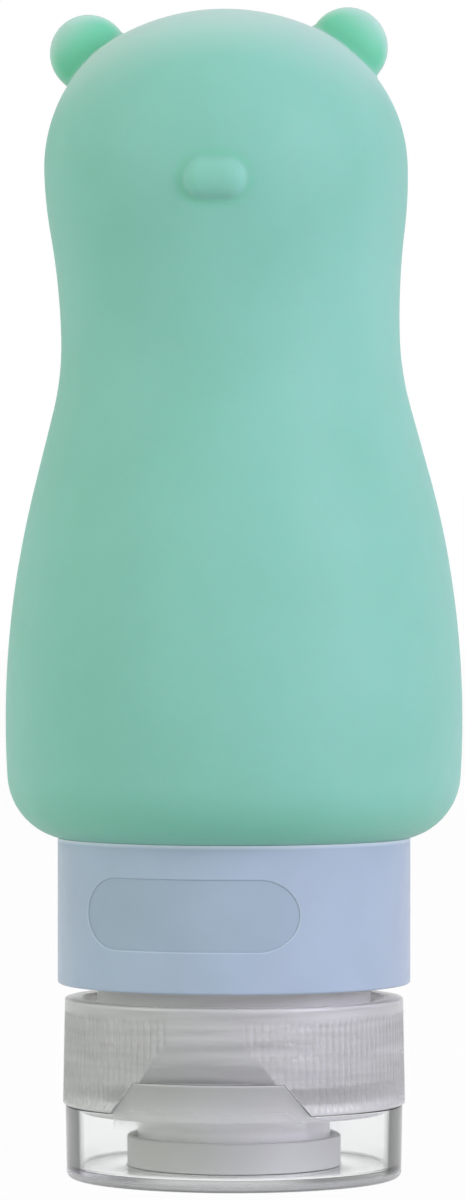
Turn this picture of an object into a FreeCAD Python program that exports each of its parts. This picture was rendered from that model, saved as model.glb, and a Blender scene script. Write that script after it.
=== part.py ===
import FreeCAD, Part
import math
import os
import re
import Sketcher
from FreeCAD import Vector

# Bear-shaped travel squeeze bottle that stands on its closed flip-top cap.
# Millimetres and degrees. Z is up from the lid's flat face, the bear looks along -Y.

SIZES = [
    # flip lid
    ("lid_height", 7.75, "flat face to the seam with the cap"),
    ("lid_step", 0.25, "lid inside the cap's side, at the seam"),
    ("lid_draft", 0.15, "lid's side drawn in at the flat face"),
    ("lid_wall", 1.35, "side wall"),
    ("lid_floor", 1.2, "flat face plate"),
    ("lid_corner", 0.7, "round of the edge it stands on"),
    ("seal_gap", 0.35, "ring that closes round the spout, off its side"),
    ("seal_ring_wall", 0.75, "wall of that ring"),
    ("seal_ring_rise", 3.3, "ring above the plate"),
    ("tab_rise", 3.3, "thumb tab above the seam"),
    ("tab_half_width", 7.9, "half the tab at its upper edge"),
    ("tab_root_half_width", 10.4, "half the tab at the seam"),
    # screw cap
    ("cap_wall", 1.95, "wall round the thread, at the open rim"),
    ("cap_draft", 0.2, "side wider at the seam"),
    ("cap_height", 11.1, "seam to open rim"),
    ("deck_recess", 1.0, "seam to the deck's outer face"),
    ("deck_thickness", 1.6, "plate across the cap"),
    ("seat_gap", 0.7, "gasket seat outside the neck"),
    ("seat_depth", 2.3, "gasket seat, from the deck up"),
    ("snap_rim_wall", 1.1, "ring that plugs into the lid"),
    ("snap_rim_drop", 0.8, "that ring below the seam"),
    ("spout_radius", 10.1, "outside of the spout"),
    ("spout_wall", 1.2, "wall of the spout"),
    ("spout_taper", 0.7, "drawn-in tip, so that the ring swings off it"),
    ("spout_taper_length", 2.6, "length of the drawn-in tip"),
    ("spout_lip", 0.9, "lip that the valve lies on"),
    ("orifice_radius", 6.0, "opening in that lip"),
    ("rib_count", 140, "grip ribs round the cap"),
    ("rib_depth", 0.2, "groove between two ribs"),
    ("rib_groove_width", 0.42, "groove at the surface"),
    ("rib_margin", 0.6, "plain band above and below the ribs"),
    ("scoop_flat_depth", 0.62, "plain flat above the thumb scoop"),
    ("scoop_start", 3.85, "scoop's upper end below the open rim"),
    ("scoop_depth", 1.6, "scoop at the thumb tab"),
    # hinge strap between cap and lid
    ("strap_width", 9.0, "along the hinge"),
    ("strap_thickness", 0.5, "thickness of the bent strap"),
    ("strap_inner_radius", 0.3, "inside of its bend"),
    ("land_proud", 0.05, "flat lands that carry the strap, off the cap's side"),
    ("land_height", 1.9, "each land, from the seam"),
    # valve
    ("valve_flange", 0.9, "thickness of the clamped edge"),
    ("valve_skin", 0.6, "thickness of the slit disc"),
    ("valve_dish", 0.9, "disc's middle set back"),
    ("valve_disc_radius", 4.9, "disc inside the flange's slope"),
    ("slit_length", 7.0, "each arm-to-arm slit"),
    ("slit_width", 0.2, "slit"),
    ("retainer_height", 1.8, "snap ring over the valve"),
    ("retainer_wall", 2.2, "snap ring, radially"),
    # mouth insert
    ("gasket_thickness", 1.0, "sealing washer"),
    ("gasket_inset", 0.15, "washer inside its seat"),
    ("neck_radius", 14.35, "outside of the neck and of the plug"),
    ("neck_wall", 2.05, "wall of the neck"),
    ("thread_depth", 1.2, "room for the thread between neck and cap"),
    ("flange_thickness", 1.4, "flange under the collar's hook"),
    ("flange_inset", 0.25, "flange above the collar's lower edge"),
    ("plug_chamfer", 0.5, "lead-in at the plug's end"),
    # collar
    ("collar_gap", 1.5, "open band between cap and collar"),
    ("collar_height", 15.05, "lower edge to the bottle"),
    ("collar_wall", 0.8, "wall"),
    ("collar_edge", 0.3, "round of its edges"),
    ("hook_thickness", 1.0, "ridge inside that hooks over the flange"),
    ("window_length", 22.8, "obround window, straight across"),
    ("window_height", 7.4, "obround window"),
    ("window_rise", 8.05, "window's middle above the lower edge"),
    ("indicator_wall", 1.5, "ring behind the window"),
    ("indicator_gap", 0.25, "ring inside the collar"),
    # silicone bottle, with heights above its underside
    ("head_radius", 19.05, "head at its widest"),
    ("head_rise", 70.25, "height of that"),
    ("crown_flattening", 2.35, "crown lower than half a ball"),
    ("temple_inset", 3.05, "middle of the head's upper round, off the axis"),
    ("cheek_round", 45.0, "lower side of the head"),
    ("waist_hollow", 1.3, "narrowest, inside the head's side"),
    ("waist_drop", 17.6, "that below the head's widest"),
    ("waist_round", 30.0, "hollow below the waist"),
    ("flank_length", 7.7, "straight from that hollow to the belly"),
    ("belly_radius", 23.95, "widest"),
    ("belly_rise", 12.55, "height of that"),
    ("base_turn", 0.87, "share of the shoulder that turns in above the collar"),
    ("silicone_wall", 2.0, "wall of the bear"),
    ("sleeve_wall", 1.5, "sleeve round the plug"),
    ("ear_radius", 4.15, "ear, seen from the front"),
    ("ear_half_depth", 3.0, "ear, front to back"),
    ("ear_inset", 5.4, "ear's middle inside the head's side"),
    ("ear_drop", 4.2, "ear's middle below the crown"),
    ("ear_set_back", 1.0, "ears behind the axis"),
    ("nose_length", 7.2, "obround nose"),
    ("nose_height", 4.6, "obround nose"),
    ("nose_drop", 2.5, "its middle below the head's widest"),
    ("nose_relief", 1.0, "nose in front of the head"),
    ("nose_round", 0.7, "soft edge of the nose"),
    # how far the loose pieces are turned, seen from above
    ("cap_turned", -6.0, "cap and lid"),
    ("collar_turned", -13.0, "collar"),
    # clearances
    ("running_gap", 0.25, "between pieces that turn or lift past each other"),
    ("push_gap", 0.05, "between pieces that are pushed together"),
    ("cut_past", 1.0, "cutting shapes beyond the solid"),
]

doc = FreeCAD.newDocument("travel_bottle")
sheet = doc.addObject("Spreadsheet::Sheet", "Sizes")
for row, (alias, amount, note) in enumerate(SIZES, start=1):
    sheet.set(f"A{row}", alias)
    sheet.set(f"B{row}", str(amount))
    sheet.set(f"C{row}", note)
    sheet.setAlias(f"B{row}", alias)
doc.recompute()
aliases = {alias for alias, amount, note in SIZES}


def tied(expression):
    def full_name(word):
        return "Sizes." + word[0] if word[0] in aliases else word[0]

    return re.sub(r"[a-z_]+", full_name, expression)


def number(expression):
    return float(sheet.evalExpression(expression))


def bind(thing, **expressions):
    for name, expression in expressions.items():
        thing.setExpression(name.replace("__", "."), tied(expression))


def new_body(label, turned=None):
    body = doc.addObject("PartDesign::Body", label)
    body.Label = label
    if turned:
        bind(body, Placement__Rotation__Angle=turned)
    return body


def origin(body, role):
    return next(feature for feature in body.Origin.OriginFeatures if feature.Role == role)


def new_sketch(body, name, plane="XZ_Plane", lift=None):
    sketch = body.newObject("Sketcher::SketchObject", name)
    sketch.AttachmentSupport = (origin(body, plane), "")
    sketch.MapMode = "FlatFace"
    if lift:
        bind(sketch, AttachmentOffset__Base__z=lift)
    return sketch


# A point's distance from the sketch's axes, bound to the sheet. Zero puts it on the axis itself.
def place(sketch, curve, end, across=None, up=None):
    for kind, axis, expression in (("DistanceX", -2, across), ("DistanceY", -1, up)):
        if expression is None:
            continue
        distance = number(expression)
        if distance == 0:
            sketch.addConstraint(Sketcher.Constraint("PointOnObject", curve, end, axis))
            continue
        ends = (-1, 1, curve, end) if distance > 0 else (curve, end, -1, 1)
        index = sketch.addConstraint(Sketcher.Constraint(kind, *ends, abs(distance)))
        sign = "" if distance > 0 else "-"
        bind(sketch, **{f"Constraints[{index}]": f"{sign}({expression})"})


def size(sketch, kind, curve, expression):
    index = sketch.addConstraint(Sketcher.Constraint(kind, curve, number(expression)))
    bind(sketch, **{f"Constraints[{index}]": expression})


# A closed outline of straight edges through (across, up) corners.
def outline(sketch, corners):
    points = [Vector(number(across), number(up), 0) for across, up in corners]
    first = sketch.GeometryCount
    for start, stop in zip(points, points[1:] + points[:1]):
        sketch.addGeometry(Part.LineSegment(start, stop))
    for count, (across, up) in enumerate(corners):
        edge = first + count
        following = first + (count + 1) % len(corners)
        sketch.addConstraint(Sketcher.Constraint("Coincident", edge, 2, following, 1))
        place(sketch, edge, 1, across, up)


# A level slot with round ends, its middle on the sketch's upright axis.
def obround(sketch, length, height, level):
    half = number(f"({length} - {height}) / 2")
    radius = number(f"{height} / 2")
    middle = number(level)
    for side, start in ((1, -90), (-1, 90)):
        circle = Part.Circle(Vector(side * half, middle, 0), Vector(0, 0, 1), radius)
        sketch.addGeometry(Part.ArcOfCircle(circle, math.radians(start), math.radians(start + 180)))
    right, left = 0, 1
    for up in (1, -1):
        ends = [Vector(half, middle + up * radius, 0), Vector(-half, middle + up * radius, 0)]
        sketch.addGeometry(Part.LineSegment(*ends))
    upper, lower = 2, 3
    for first, first_end, second, second_end in (
        (right, 2, upper, 1),
        (upper, 2, left, 1),
        (left, 2, lower, 2),
        (lower, 1, right, 1),
    ):
        sketch.addConstraint(Sketcher.Constraint("Tangent", first, first_end, second, second_end))
    size(sketch, "Radius", right, f"{height} / 2")
    place(sketch, right, 3, f"({length} - {height}) / 2", level)
    place(sketch, left, 3, f"({height} - {length}) / 2", level)


def turn(body, name, sketch, cut=False):
    feature = body.newObject("PartDesign::Groove" if cut else "PartDesign::Revolution", name)
    feature.Profile = sketch
    feature.ReferenceAxis = (sketch, ["V_Axis"])
    feature.Angle = 360
    sketch.Visibility = False
    doc.recompute()
    return feature


# A solid or a hole of revolution about the bottle's axis.
def lathe(body, name, corners, cut=False):
    sketch = new_sketch(body, name + "_profile")
    outline(sketch, corners)
    return turn(body, name, sketch, cut)


# A sketch pushed out along its plane's normal, or both ways from the plane.
def push(body, name, sketch, length, cut=False, both_ways=False):
    before = body.Shape.Volume if cut else 0
    feature = body.newObject("PartDesign::Pocket" if cut else "PartDesign::Pad", name)
    feature.Profile = sketch
    bind(feature, Length=length)
    if both_ways:
        feature.SideType = "Symmetric"
    feature.Reversed = cut and not both_ways
    doc.recompute()
    if cut and body.Shape.Volume > before - 1e-6:
        raise RuntimeError(name + " cuts nothing")
    return feature


def soften(body, name, radius, chosen):
    base = body.Tip
    edges = [f"Edge{count}" for count, edge in enumerate(base.Shape.Edges, start=1) if chosen(edge)]
    if not edges:
        raise RuntimeError(name + " finds no edge")
    feature = body.newObject("PartDesign::Fillet", name)
    feature.Base = (base, edges)
    bind(feature, Radius=radius)
    doc.recompute()
    return feature


def ring_edge(radius, level):
    wanted = (number(radius), number(level))

    def chosen(edge):
        circle = edge.Curve
        if circle.TypeId != "Part::GeomCircle":
            return False
        return abs(circle.Radius - wanted[0]) < 1e-4 and abs(circle.Center.z - wanted[1]) < 1e-4

    return chosen


# Levels up the bottle and shared radii, from the driving sizes
seam = "lid_height"
deck_under = f"{seam} + deck_recess"
deck_top = f"{deck_under} + deck_thickness"
seat_top = f"{deck_top} + seat_depth"
mouth = f"{deck_top} + gasket_thickness"
cap_rim = f"{seam} + cap_height"
collar_foot = f"{cap_rim} + collar_gap"
flange_under = f"{collar_foot} + flange_inset"
flange_top = f"{flange_under} + flange_thickness"
hook_under = f"{flange_top} + running_gap"
hook_top = f"{hook_under} + hook_thickness"
collar_top = f"{collar_foot} + collar_height"
bottle_base = f"{collar_top} + push_gap"
head_level = f"{bottle_base} + head_rise"
bottle_top = f"{head_level} + head_radius - crown_flattening"
waist_level = f"{head_level} - waist_drop"
belly_level = f"{bottle_base} + belly_rise"
sleeve_foot = f"{flange_top} + push_gap"
tab_top = f"{seam} + tab_rise"

neck_bore = "neck_radius - neck_wall"
sleeve_bore = "neck_radius + push_gap"
sleeve_radius = f"{sleeve_bore} + sleeve_wall"
indicator_bore = f"{sleeve_radius} + push_gap"
indicator_radius = f"{indicator_bore} + indicator_wall"
collar_bore = f"{indicator_radius} + indicator_gap"
collar_radius = f"{collar_bore} + collar_wall"
hook_bore = f"{sleeve_radius} + running_gap"
flange_radius = f"{collar_bore} - running_gap"
head_round = "head_radius - temple_inset"
waist_radius = "head_radius - waist_hollow"
swell = f"(belly_radius - ({waist_radius}))"
flank_fall = "(head_rise - waist_drop - belly_rise)"
belly_round = f"({swell}^2 + {flank_fall}^2 - flank_length^2) / (2 * {swell}) - waist_round"
base_round = f"(belly_radius - ({sleeve_radius})) * base_turn"
seat_radius = "neck_radius + seat_gap"
thread_bore = "neck_radius + thread_depth + running_gap"
cap_rim_radius = f"{thread_bore} + cap_wall"
cap_radius = f"{cap_rim_radius} + cap_draft"
land_reach = f"{cap_radius} + land_proud"
lid_radius = f"{cap_radius} - lid_step"
lid_foot_radius = f"{lid_radius} - lid_draft"
lid_inside = f"{lid_radius} - lid_wall"
snap_rim_radius = f"{lid_inside} - running_gap"
seal_bore = "spout_radius + seal_gap"
seal_radius = f"{seal_bore} + seal_ring_wall"
spout_bore = "spout_radius - spout_wall"
spout_tip = "lid_floor + running_gap * 2"
valve_seat = f"{spout_tip} + spout_lip"
valve_top = f"{valve_seat} + valve_flange"


# Half of the bear's outline, drawn in by inset, down to a sleeve that ends at foot.
def bear_sketch(body, name, inset, sleeve, foot):
    top, head, waist, belly = (
        number(f"{edge} - {inset}") for edge in (bottle_top, "head_radius", waist_radius, "belly_radius")
    )
    base = number(f"{bottle_base} + {inset}")
    head_up, waist_up, belly_up = (number(level) for level in (head_level, waist_level, belly_level))
    temple_bend, cheek_bend, paunch_bend, turn_in_bend = (
        number(f"{round_size} - {inset}") for round_size in (head_round, "cheek_round", belly_round, base_round)
    )
    hollow_bend = number(f"waist_round + {inset}")

    head_centre = Vector(head - temple_bend, head_up, 0)
    rise = top - head_up
    crown_bend = (head_centre.x**2 + rise**2 - temple_bend**2) / (2 * (rise - temple_bend))
    crown_centre = Vector(0, top - crown_bend, 0)
    cheek_centre = Vector(head - cheek_bend, head_up, 0)
    fall = head_up - waist_up
    small_of_back_bend = (fall**2 + (head - waist) ** 2) / (2 * (head - waist)) - cheek_bend
    small_of_back_centre = Vector(waist + small_of_back_bend, waist_up, 0)
    waist_centre = Vector(waist + hollow_bend, waist_up, 0)
    belly_centre = Vector(belly - paunch_bend, belly_up, 0)
    base_up = base + turn_in_bend
    base_reach = math.sqrt((paunch_bend - turn_in_bend) ** 2 - (base_up - belly_up) ** 2)
    base_across = belly_centre.x + base_reach
    base_centre = Vector(base_across, base_up, 0)

    def towards(centre, other, radius):
        return centre + (other - centre).normalize() * radius

    between = belly_centre - waist_centre
    spread = math.acos((hollow_bend + paunch_bend) / between.Length)
    lean = math.atan2(between.y, between.x) - spread
    normal = Vector(math.cos(lean), math.sin(lean), 0)
    apex = Vector(0, top, 0)
    crown_end = towards(crown_centre, head_centre, crown_bend)
    head_side = Vector(head, head_up, 0)
    cheek_end = towards(cheek_centre, small_of_back_centre, cheek_bend)
    waist_side = Vector(waist, waist_up, 0)
    flank_top = waist_centre + normal * hollow_bend
    flank_foot = belly_centre - normal * paunch_bend
    belly_end = towards(belly_centre, base_centre, paunch_bend)
    base_end = Vector(base_across, base, 0)
    sleeve_top = Vector(number(sleeve), base, 0)
    sleeve_end = Vector(number(sleeve), number(foot), 0)
    axis_end = Vector(0, number(foot), 0)

    sketch = new_sketch(body, name)

    def arc(centre, start, stop):
        circle = Part.Circle(centre, Vector(0, 0, 1), (start - centre).Length)
        angles = [math.atan2(point.y - centre.y, point.x - centre.x) for point in (start, stop)]
        return sketch.addGeometry(Part.ArcOfCircle(circle, *angles))

    def line(start, stop):
        return sketch.addGeometry(Part.LineSegment(start, stop))

    crown = arc(crown_centre, crown_end, apex)
    temple = arc(head_centre, head_side, crown_end)
    cheek = arc(cheek_centre, cheek_end, head_side)
    small_of_back = arc(small_of_back_centre, cheek_end, waist_side)
    hollow = arc(waist_centre, waist_side, flank_top)
    flank = line(flank_top, flank_foot)
    paunch = arc(belly_centre, belly_end, flank_foot)
    turn_in = arc(base_centre, base_end, belly_end)
    underside = line(base_end, sleeve_top)
    sleeve_side = line(sleeve_top, sleeve_end)
    foot_edge = line(sleeve_end, axis_end)
    axis = line(axis_end, apex)

    for first, first_end, second, second_end in (
        (crown, 1, temple, 2),
        (temple, 1, cheek, 2),
        (cheek, 1, small_of_back, 1),
        (small_of_back, 2, hollow, 1),
        (hollow, 2, flank, 1),
        (flank, 2, paunch, 2),
        (paunch, 1, turn_in, 2),
        (turn_in, 1, underside, 1),
    ):
        sketch.addConstraint(Sketcher.Constraint("Tangent", first, first_end, second, second_end))
    for first, second in ((underside, sleeve_side), (sleeve_side, foot_edge), (foot_edge, axis)):
        sketch.addConstraint(Sketcher.Constraint("Coincident", first, 2, second, 1))
    sketch.addConstraint(Sketcher.Constraint("Coincident", axis, 2, crown, 2))
    sketch.addConstraint(Sketcher.Constraint("Horizontal", underside))
    sketch.addConstraint(Sketcher.Constraint("Horizontal", foot_edge))
    sketch.addConstraint(Sketcher.Constraint("Vertical", sleeve_side))
    sketch.addConstraint(Sketcher.Constraint("Vertical", axis))
    sketch.addConstraint(Sketcher.Constraint("Horizontal", temple, 3, temple, 1))
    sketch.addConstraint(Sketcher.Constraint("Horizontal", small_of_back, 3, small_of_back, 2))
    place(sketch, crown, 3, across="0")
    place(sketch, axis, 1, across="0")
    place(sketch, axis, 2, up=f"{bottle_top} - {inset}")
    place(sketch, temple, 1, f"head_radius - {inset}", head_level)
    place(sketch, hollow, 1, f"{waist_radius} - {inset}", waist_level)
    place(sketch, paunch, 3, f"belly_radius - ({belly_round})", belly_level)
    place(sketch, underside, 2, sleeve, f"{bottle_base} + {inset}")
    place(sketch, foot_edge, 1, up=foot)
    size(sketch, "Radius", temple, f"{head_round} - {inset}")
    size(sketch, "Radius", cheek, f"cheek_round - {inset}")
    size(sketch, "Radius", hollow, f"waist_round + {inset}")
    size(sketch, "Radius", paunch, f"{belly_round} - {inset}")
    size(sketch, "Radius", turn_in, f"{base_round} - {inset}")
    return sketch


def silicone_bottle():
    body = new_body("silicone_bottle")
    turn(body, "bear", bear_sketch(body, "bear_outline", "0", sleeve_radius, sleeve_foot))
    ear = body.newObject("PartDesign::AdditiveEllipsoid", "ear")
    bind(ear, Radius1="ear_radius", Radius2="ear_radius", Radius3="ear_half_depth")
    bind(ear, Placement__Base__x="head_radius - ear_inset", Placement__Base__y="ear_set_back")
    bind(ear, Placement__Base__z=f"{bottle_top} - ear_drop")
    doc.recompute()
    other_ear = body.newObject("PartDesign::Mirrored", "other_ear")
    other_ear.Originals = [ear]
    other_ear.MirrorPlane = (origin(body, "YZ_Plane"), [""])
    body.Tip = other_ear
    doc.recompute()
    nose = new_sketch(body, "nose_outline")
    obround(nose, "nose_length", "nose_height", f"{head_level} - nose_drop")
    push(body, "nose", nose, "head_radius + nose_relief")
    face = -number("head_radius + nose_relief")

    def on_face(edge):
        return all(abs(vertex.Y - face) < 1e-4 for vertex in edge.Vertexes)

    soften(body, "nose_edge", "nose_round", on_face)
    below = f"{sleeve_foot} - cut_past"
    inside = bear_sketch(body, "inside_outline", "silicone_wall", sleeve_bore, below)
    turn(body, "inside", inside, cut=True)
    return body


def threaded_neck():
    body = new_body("threaded_neck")
    plug_end = collar_top
    corners = [
        (neck_bore, mouth),
        ("neck_radius", mouth),
        ("neck_radius", flange_under),
        (flange_radius, flange_under),
        (flange_radius, flange_top),
        ("neck_radius", flange_top),
        ("neck_radius", f"{plug_end} - plug_chamfer"),
        ("neck_radius - plug_chamfer", plug_end),
        (neck_bore, plug_end),
    ]
    lathe(body, "neck", corners)
    return body


def collar():
    body = new_body("collar", turned="collar_turned")
    corners = [
        (collar_bore, collar_foot),
        (collar_radius, collar_foot),
        (collar_radius, collar_top),
        (collar_bore, collar_top),
        (collar_bore, hook_top),
        (hook_bore, hook_top),
        (hook_bore, hook_under),
        (collar_bore, hook_under),
    ]
    lathe(body, "ring", corners)
    rims = [ring_edge(collar_radius, level) for level in (collar_foot, collar_top)]
    soften(body, "edges", "collar_edge", lambda edge: any(rim(edge) for rim in rims))
    window = new_sketch(body, "window_outline")
    obround(window, "window_length", "window_height", f"{collar_foot} + window_rise")
    push(body, "window", window, f"{collar_radius} + cut_past", cut=True)
    return body


def indicator_ring():
    body = new_body("indicator_ring")
    foot = f"{hook_top} + running_gap"
    top = f"{collar_top} - running_gap"
    corners = [
        (indicator_bore, foot),
        (indicator_radius, foot),
        (indicator_radius, top),
        (indicator_bore, top),
    ]
    lathe(body, "ring", corners)
    return body


def cap_gasket():
    body = new_body("cap_gasket")
    outer = f"{seat_radius} - gasket_inset"
    corners = [(neck_bore, deck_top), (outer, deck_top), (outer, mouth), (neck_bore, mouth)]
    lathe(body, "washer", corners)
    return body


# The thumb tab's outline from the front: as wide as the scoop, less a gap on each side.
def tab_corners(gap, foot):
    spread = f"(tab_root_half_width - tab_half_width) / tab_rise * ({seam} - ({foot}))"
    top = f"{tab_top} + {gap}"
    return [
        (f"-(tab_half_width + {gap})", top),
        (f"-(tab_root_half_width + {spread} + {gap})", foot),
        (f"tab_root_half_width + {spread} + {gap}", foot),
        (f"tab_half_width + {gap}", top),
    ]


# A flat land on the hinge side, which carries one end of the strap.
def hinge_land(body, foot, top):
    land = new_sketch(body, "land_outline", plane="YZ_Plane")
    outline(land, [(lid_inside, foot), (land_reach, foot), (land_reach, top), (lid_inside, top)])
    push(body, "land", land, "strap_width", both_ways=True)


def cap_base():
    body = new_body("cap_base", turned="cap_turned")
    blank = [("0", seam), (cap_radius, seam), (cap_rim_radius, cap_rim), ("0", cap_rim)]
    lathe(body, "blank", blank)

    rib_foot = f"{seam} + rib_margin"
    rib_top = f"{cap_rim} - rib_margin"
    groove = new_sketch(body, "rib_groove_outline", plane="XY_Plane", lift=rib_foot)
    floor = f"{cap_rim_radius} - rib_depth"
    lip = f"{cap_radius} + rib_depth"
    outline(groove, [(floor, "0"), (lip, "rib_groove_width"), (lip, "-rib_groove_width")])
    cut_groove = push(body, "rib_groove", groove, f"({rib_top}) - ({rib_foot})", cut=True)
    ribs = body.newObject("PartDesign::PolarPattern", "ribs")
    ribs.Originals = [cut_groove]
    ribs.Axis = (origin(body, "Z_Axis"), [""])
    ribs.Angle = 360
    bind(ribs, Occurrences="rib_count")
    body.Tip = ribs
    doc.recompute()

    scoop = new_sketch(body, "scoop_outline", plane="YZ_Plane")
    outside = f"-({cap_radius} + cut_past)"
    flat = f"-({cap_radius} - scoop_flat_depth)"
    deep = f"-({cap_radius} - scoop_depth)"
    ledge = f"{tab_top} + running_gap"
    scoop_top = f"{cap_rim} - scoop_start"
    above = f"{cap_rim} + cut_past"
    outline(scoop, [(flat, above), (flat, scoop_top), (deep, ledge), (outside, ledge), (outside, above)])
    push(body, "scoop", scoop, f"({cap_radius}) * 2", cut=True, both_ways=True)
    tab_place = new_sketch(body, "tab_place_outline")
    outline(tab_place, tab_corners("running_gap", f"{seam} - cut_past"))
    push(body, "tab_place", tab_place, f"{cap_radius} + cut_past", cut=True)

    spout = [
        ("0", spout_tip),
        ("spout_radius - spout_taper", spout_tip),
        ("spout_radius", f"{spout_tip} + spout_taper_length"),
        ("spout_radius", deck_under),
        (f"{snap_rim_radius} - snap_rim_wall", deck_under),
        (f"{snap_rim_radius} - snap_rim_wall", f"{seam} - snap_rim_drop"),
        (snap_rim_radius, f"{seam} - snap_rim_drop"),
        (snap_rim_radius, ledge),
        ("0", ledge),
    ]
    lathe(body, "core", spout)
    moat = [
        ("spout_radius", f"{seam} - cut_past"),
        (f"{snap_rim_radius} - snap_rim_wall", f"{seam} - cut_past"),
        (f"{snap_rim_radius} - snap_rim_wall", deck_under),
        ("spout_radius", deck_under),
    ]
    lathe(body, "moat", moat, cut=True)
    inside = [
        ("0", f"{spout_tip} - cut_past"),
        ("orifice_radius", f"{spout_tip} - cut_past"),
        ("orifice_radius", valve_seat),
        (spout_bore, valve_seat),
        (spout_bore, deck_top),
        (seat_radius, deck_top),
        (seat_radius, seat_top),
        (thread_bore, seat_top),
        (thread_bore, above),
        ("0", above),
    ]
    lathe(body, "inside", inside, cut=True)
    hinge_land(body, seam, f"{seam} + land_height")
    return body


def valve():
    body = new_body("valve", turned="cap_turned")
    rim = f"{spout_bore} - push_gap"
    corners = [
        ("0", f"{valve_seat} + valve_dish"),
        ("valve_disc_radius", valve_seat),
        (rim, valve_seat),
        (rim, valve_top),
        ("orifice_radius", valve_top),
        ("valve_disc_radius", f"{valve_seat} + valve_skin"),
        ("0", f"{valve_seat} + valve_dish + valve_skin"),
    ]
    lathe(body, "disc", corners)
    slit = new_sketch(body, "slit_outline", plane="XY_Plane", lift=f"{valve_seat} - cut_past")
    half_long = "slit_length / 2"
    half_wide = "slit_width / 2"
    cross = [
        (half_long, half_wide),
        (half_wide, half_wide),
        (half_wide, half_long),
        (f"-{half_wide}", half_long),
        (f"-{half_wide}", half_wide),
        (f"-{half_long}", half_wide),
        (f"-{half_long}", f"-{half_wide}"),
        (f"-{half_wide}", f"-{half_wide}"),
        (f"-{half_wide}", f"-{half_long}"),
        (half_wide, f"-{half_long}"),
        (half_wide, f"-{half_wide}"),
        (half_long, f"-{half_wide}"),
    ]
    outline(slit, cross)
    push(body, "slit", slit, "valve_dish + valve_skin + cut_past * 2", cut=True)
    return body


def valve_retainer():
    body = new_body("valve_retainer", turned="cap_turned")
    outer = f"{spout_bore} - push_gap"
    top = f"{valve_top} + retainer_height"
    inner = f"{outer} - retainer_wall"
    lathe(body, "ring", [(inner, valve_top), (outer, valve_top), (outer, top), (inner, top)])
    return body


def flip_lid():
    body = new_body("flip_lid", turned="cap_turned")
    tab = new_sketch(body, "tab_outline")
    outline(tab, tab_corners("0", seam))
    push(body, "tab", tab, f"{lid_radius} + cut_past")
    above = f"{tab_top} + cut_past"
    below = f"{seam} - cut_past"
    beyond = f"{lid_radius} + tab_root_half_width"
    front = [(lid_radius, below), (beyond, below), (beyond, above), (lid_radius, above)]
    lathe(body, "tab_front", front, cut=True)
    lathe(body, "tab_back", [("0", below), (lid_inside, below), (lid_inside, above), ("0", above)], cut=True)
    cup = [
        ("0", "0"),
        (lid_foot_radius, "0"),
        (lid_radius, seam),
        (lid_inside, seam),
        (f"{lid_foot_radius} - lid_wall", "lid_floor"),
        (seal_radius, "lid_floor"),
        (seal_radius, "lid_floor + seal_ring_rise"),
        (seal_bore, "lid_floor + seal_ring_rise"),
        (seal_bore, "lid_floor"),
        ("0", "lid_floor"),
    ]
    lathe(body, "cup", cup)
    soften(body, "foot_edge", "lid_corner", ring_edge(lid_foot_radius, "0"))
    hinge_land(body, f"{seam} - land_height", seam)
    return body


# Half a turn of thin strap from the cap's land to the lid's.
def living_hinge():
    body = new_body("living_hinge", turned="cap_turned")
    sketch = new_sketch(body, "strap_outline", plane="YZ_Plane")
    middle = Vector(number(land_reach), number(seam), 0)
    inner, outer = "strap_inner_radius", "strap_inner_radius + strap_thickness"
    for radius in (inner, outer):
        circle = Part.Circle(middle, Vector(0, 0, 1), number(radius))
        sketch.addGeometry(Part.ArcOfCircle(circle, math.radians(-90), math.radians(90)))
    for up in (1, -1):
        ends = [middle + Vector(0, up * number(radius), 0) for radius in (inner, outer)]
        sketch.addGeometry(Part.LineSegment(*ends))
    inside, outside, upper, lower = range(4)
    for end, edge in ((2, upper), (1, lower)):
        sketch.addConstraint(Sketcher.Constraint("Coincident", inside, end, edge, 1))
        sketch.addConstraint(Sketcher.Constraint("Coincident", outside, end, edge, 2))
        sketch.addConstraint(Sketcher.Constraint("Vertical", edge))
    sketch.addConstraint(Sketcher.Constraint("Coincident", inside, 3, outside, 3))
    sketch.addConstraint(Sketcher.Constraint("PointOnObject", inside, 3, upper))
    place(sketch, inside, 3, land_reach, seam)
    size(sketch, "Radius", inside, inner)
    size(sketch, "Radius", outside, outer)
    push(body, "strap", sketch, "strap_width", both_ways=True)
    return body


pieces = [
    silicone_bottle(),
    threaded_neck(),
    collar(),
    indicator_ring(),
    cap_gasket(),
    cap_base(),
    valve(),
    valve_retainer(),
    flip_lid(),
    living_hinge(),
]
doc.recompute()

for thing in doc.Objects:
    if {"Invalid", "Error"} & set(thing.State):
        raise RuntimeError(f"{thing.Name} failed: {thing.State}")
for piece in pieces:
    if piece.Shape.isNull() or not piece.Shape.isValid() or len(piece.Shape.Solids) != 1:
        raise RuntimeError(f"{piece.Label} is not one sound solid")

os.makedirs("parts", exist_ok=True)
for piece in pieces:
    piece.Shape.exportStep(f"parts/{piece.Label}.step")
    print(f"{piece.Label}: {piece.Shape.Volume:.1f} cubic mm")
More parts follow.
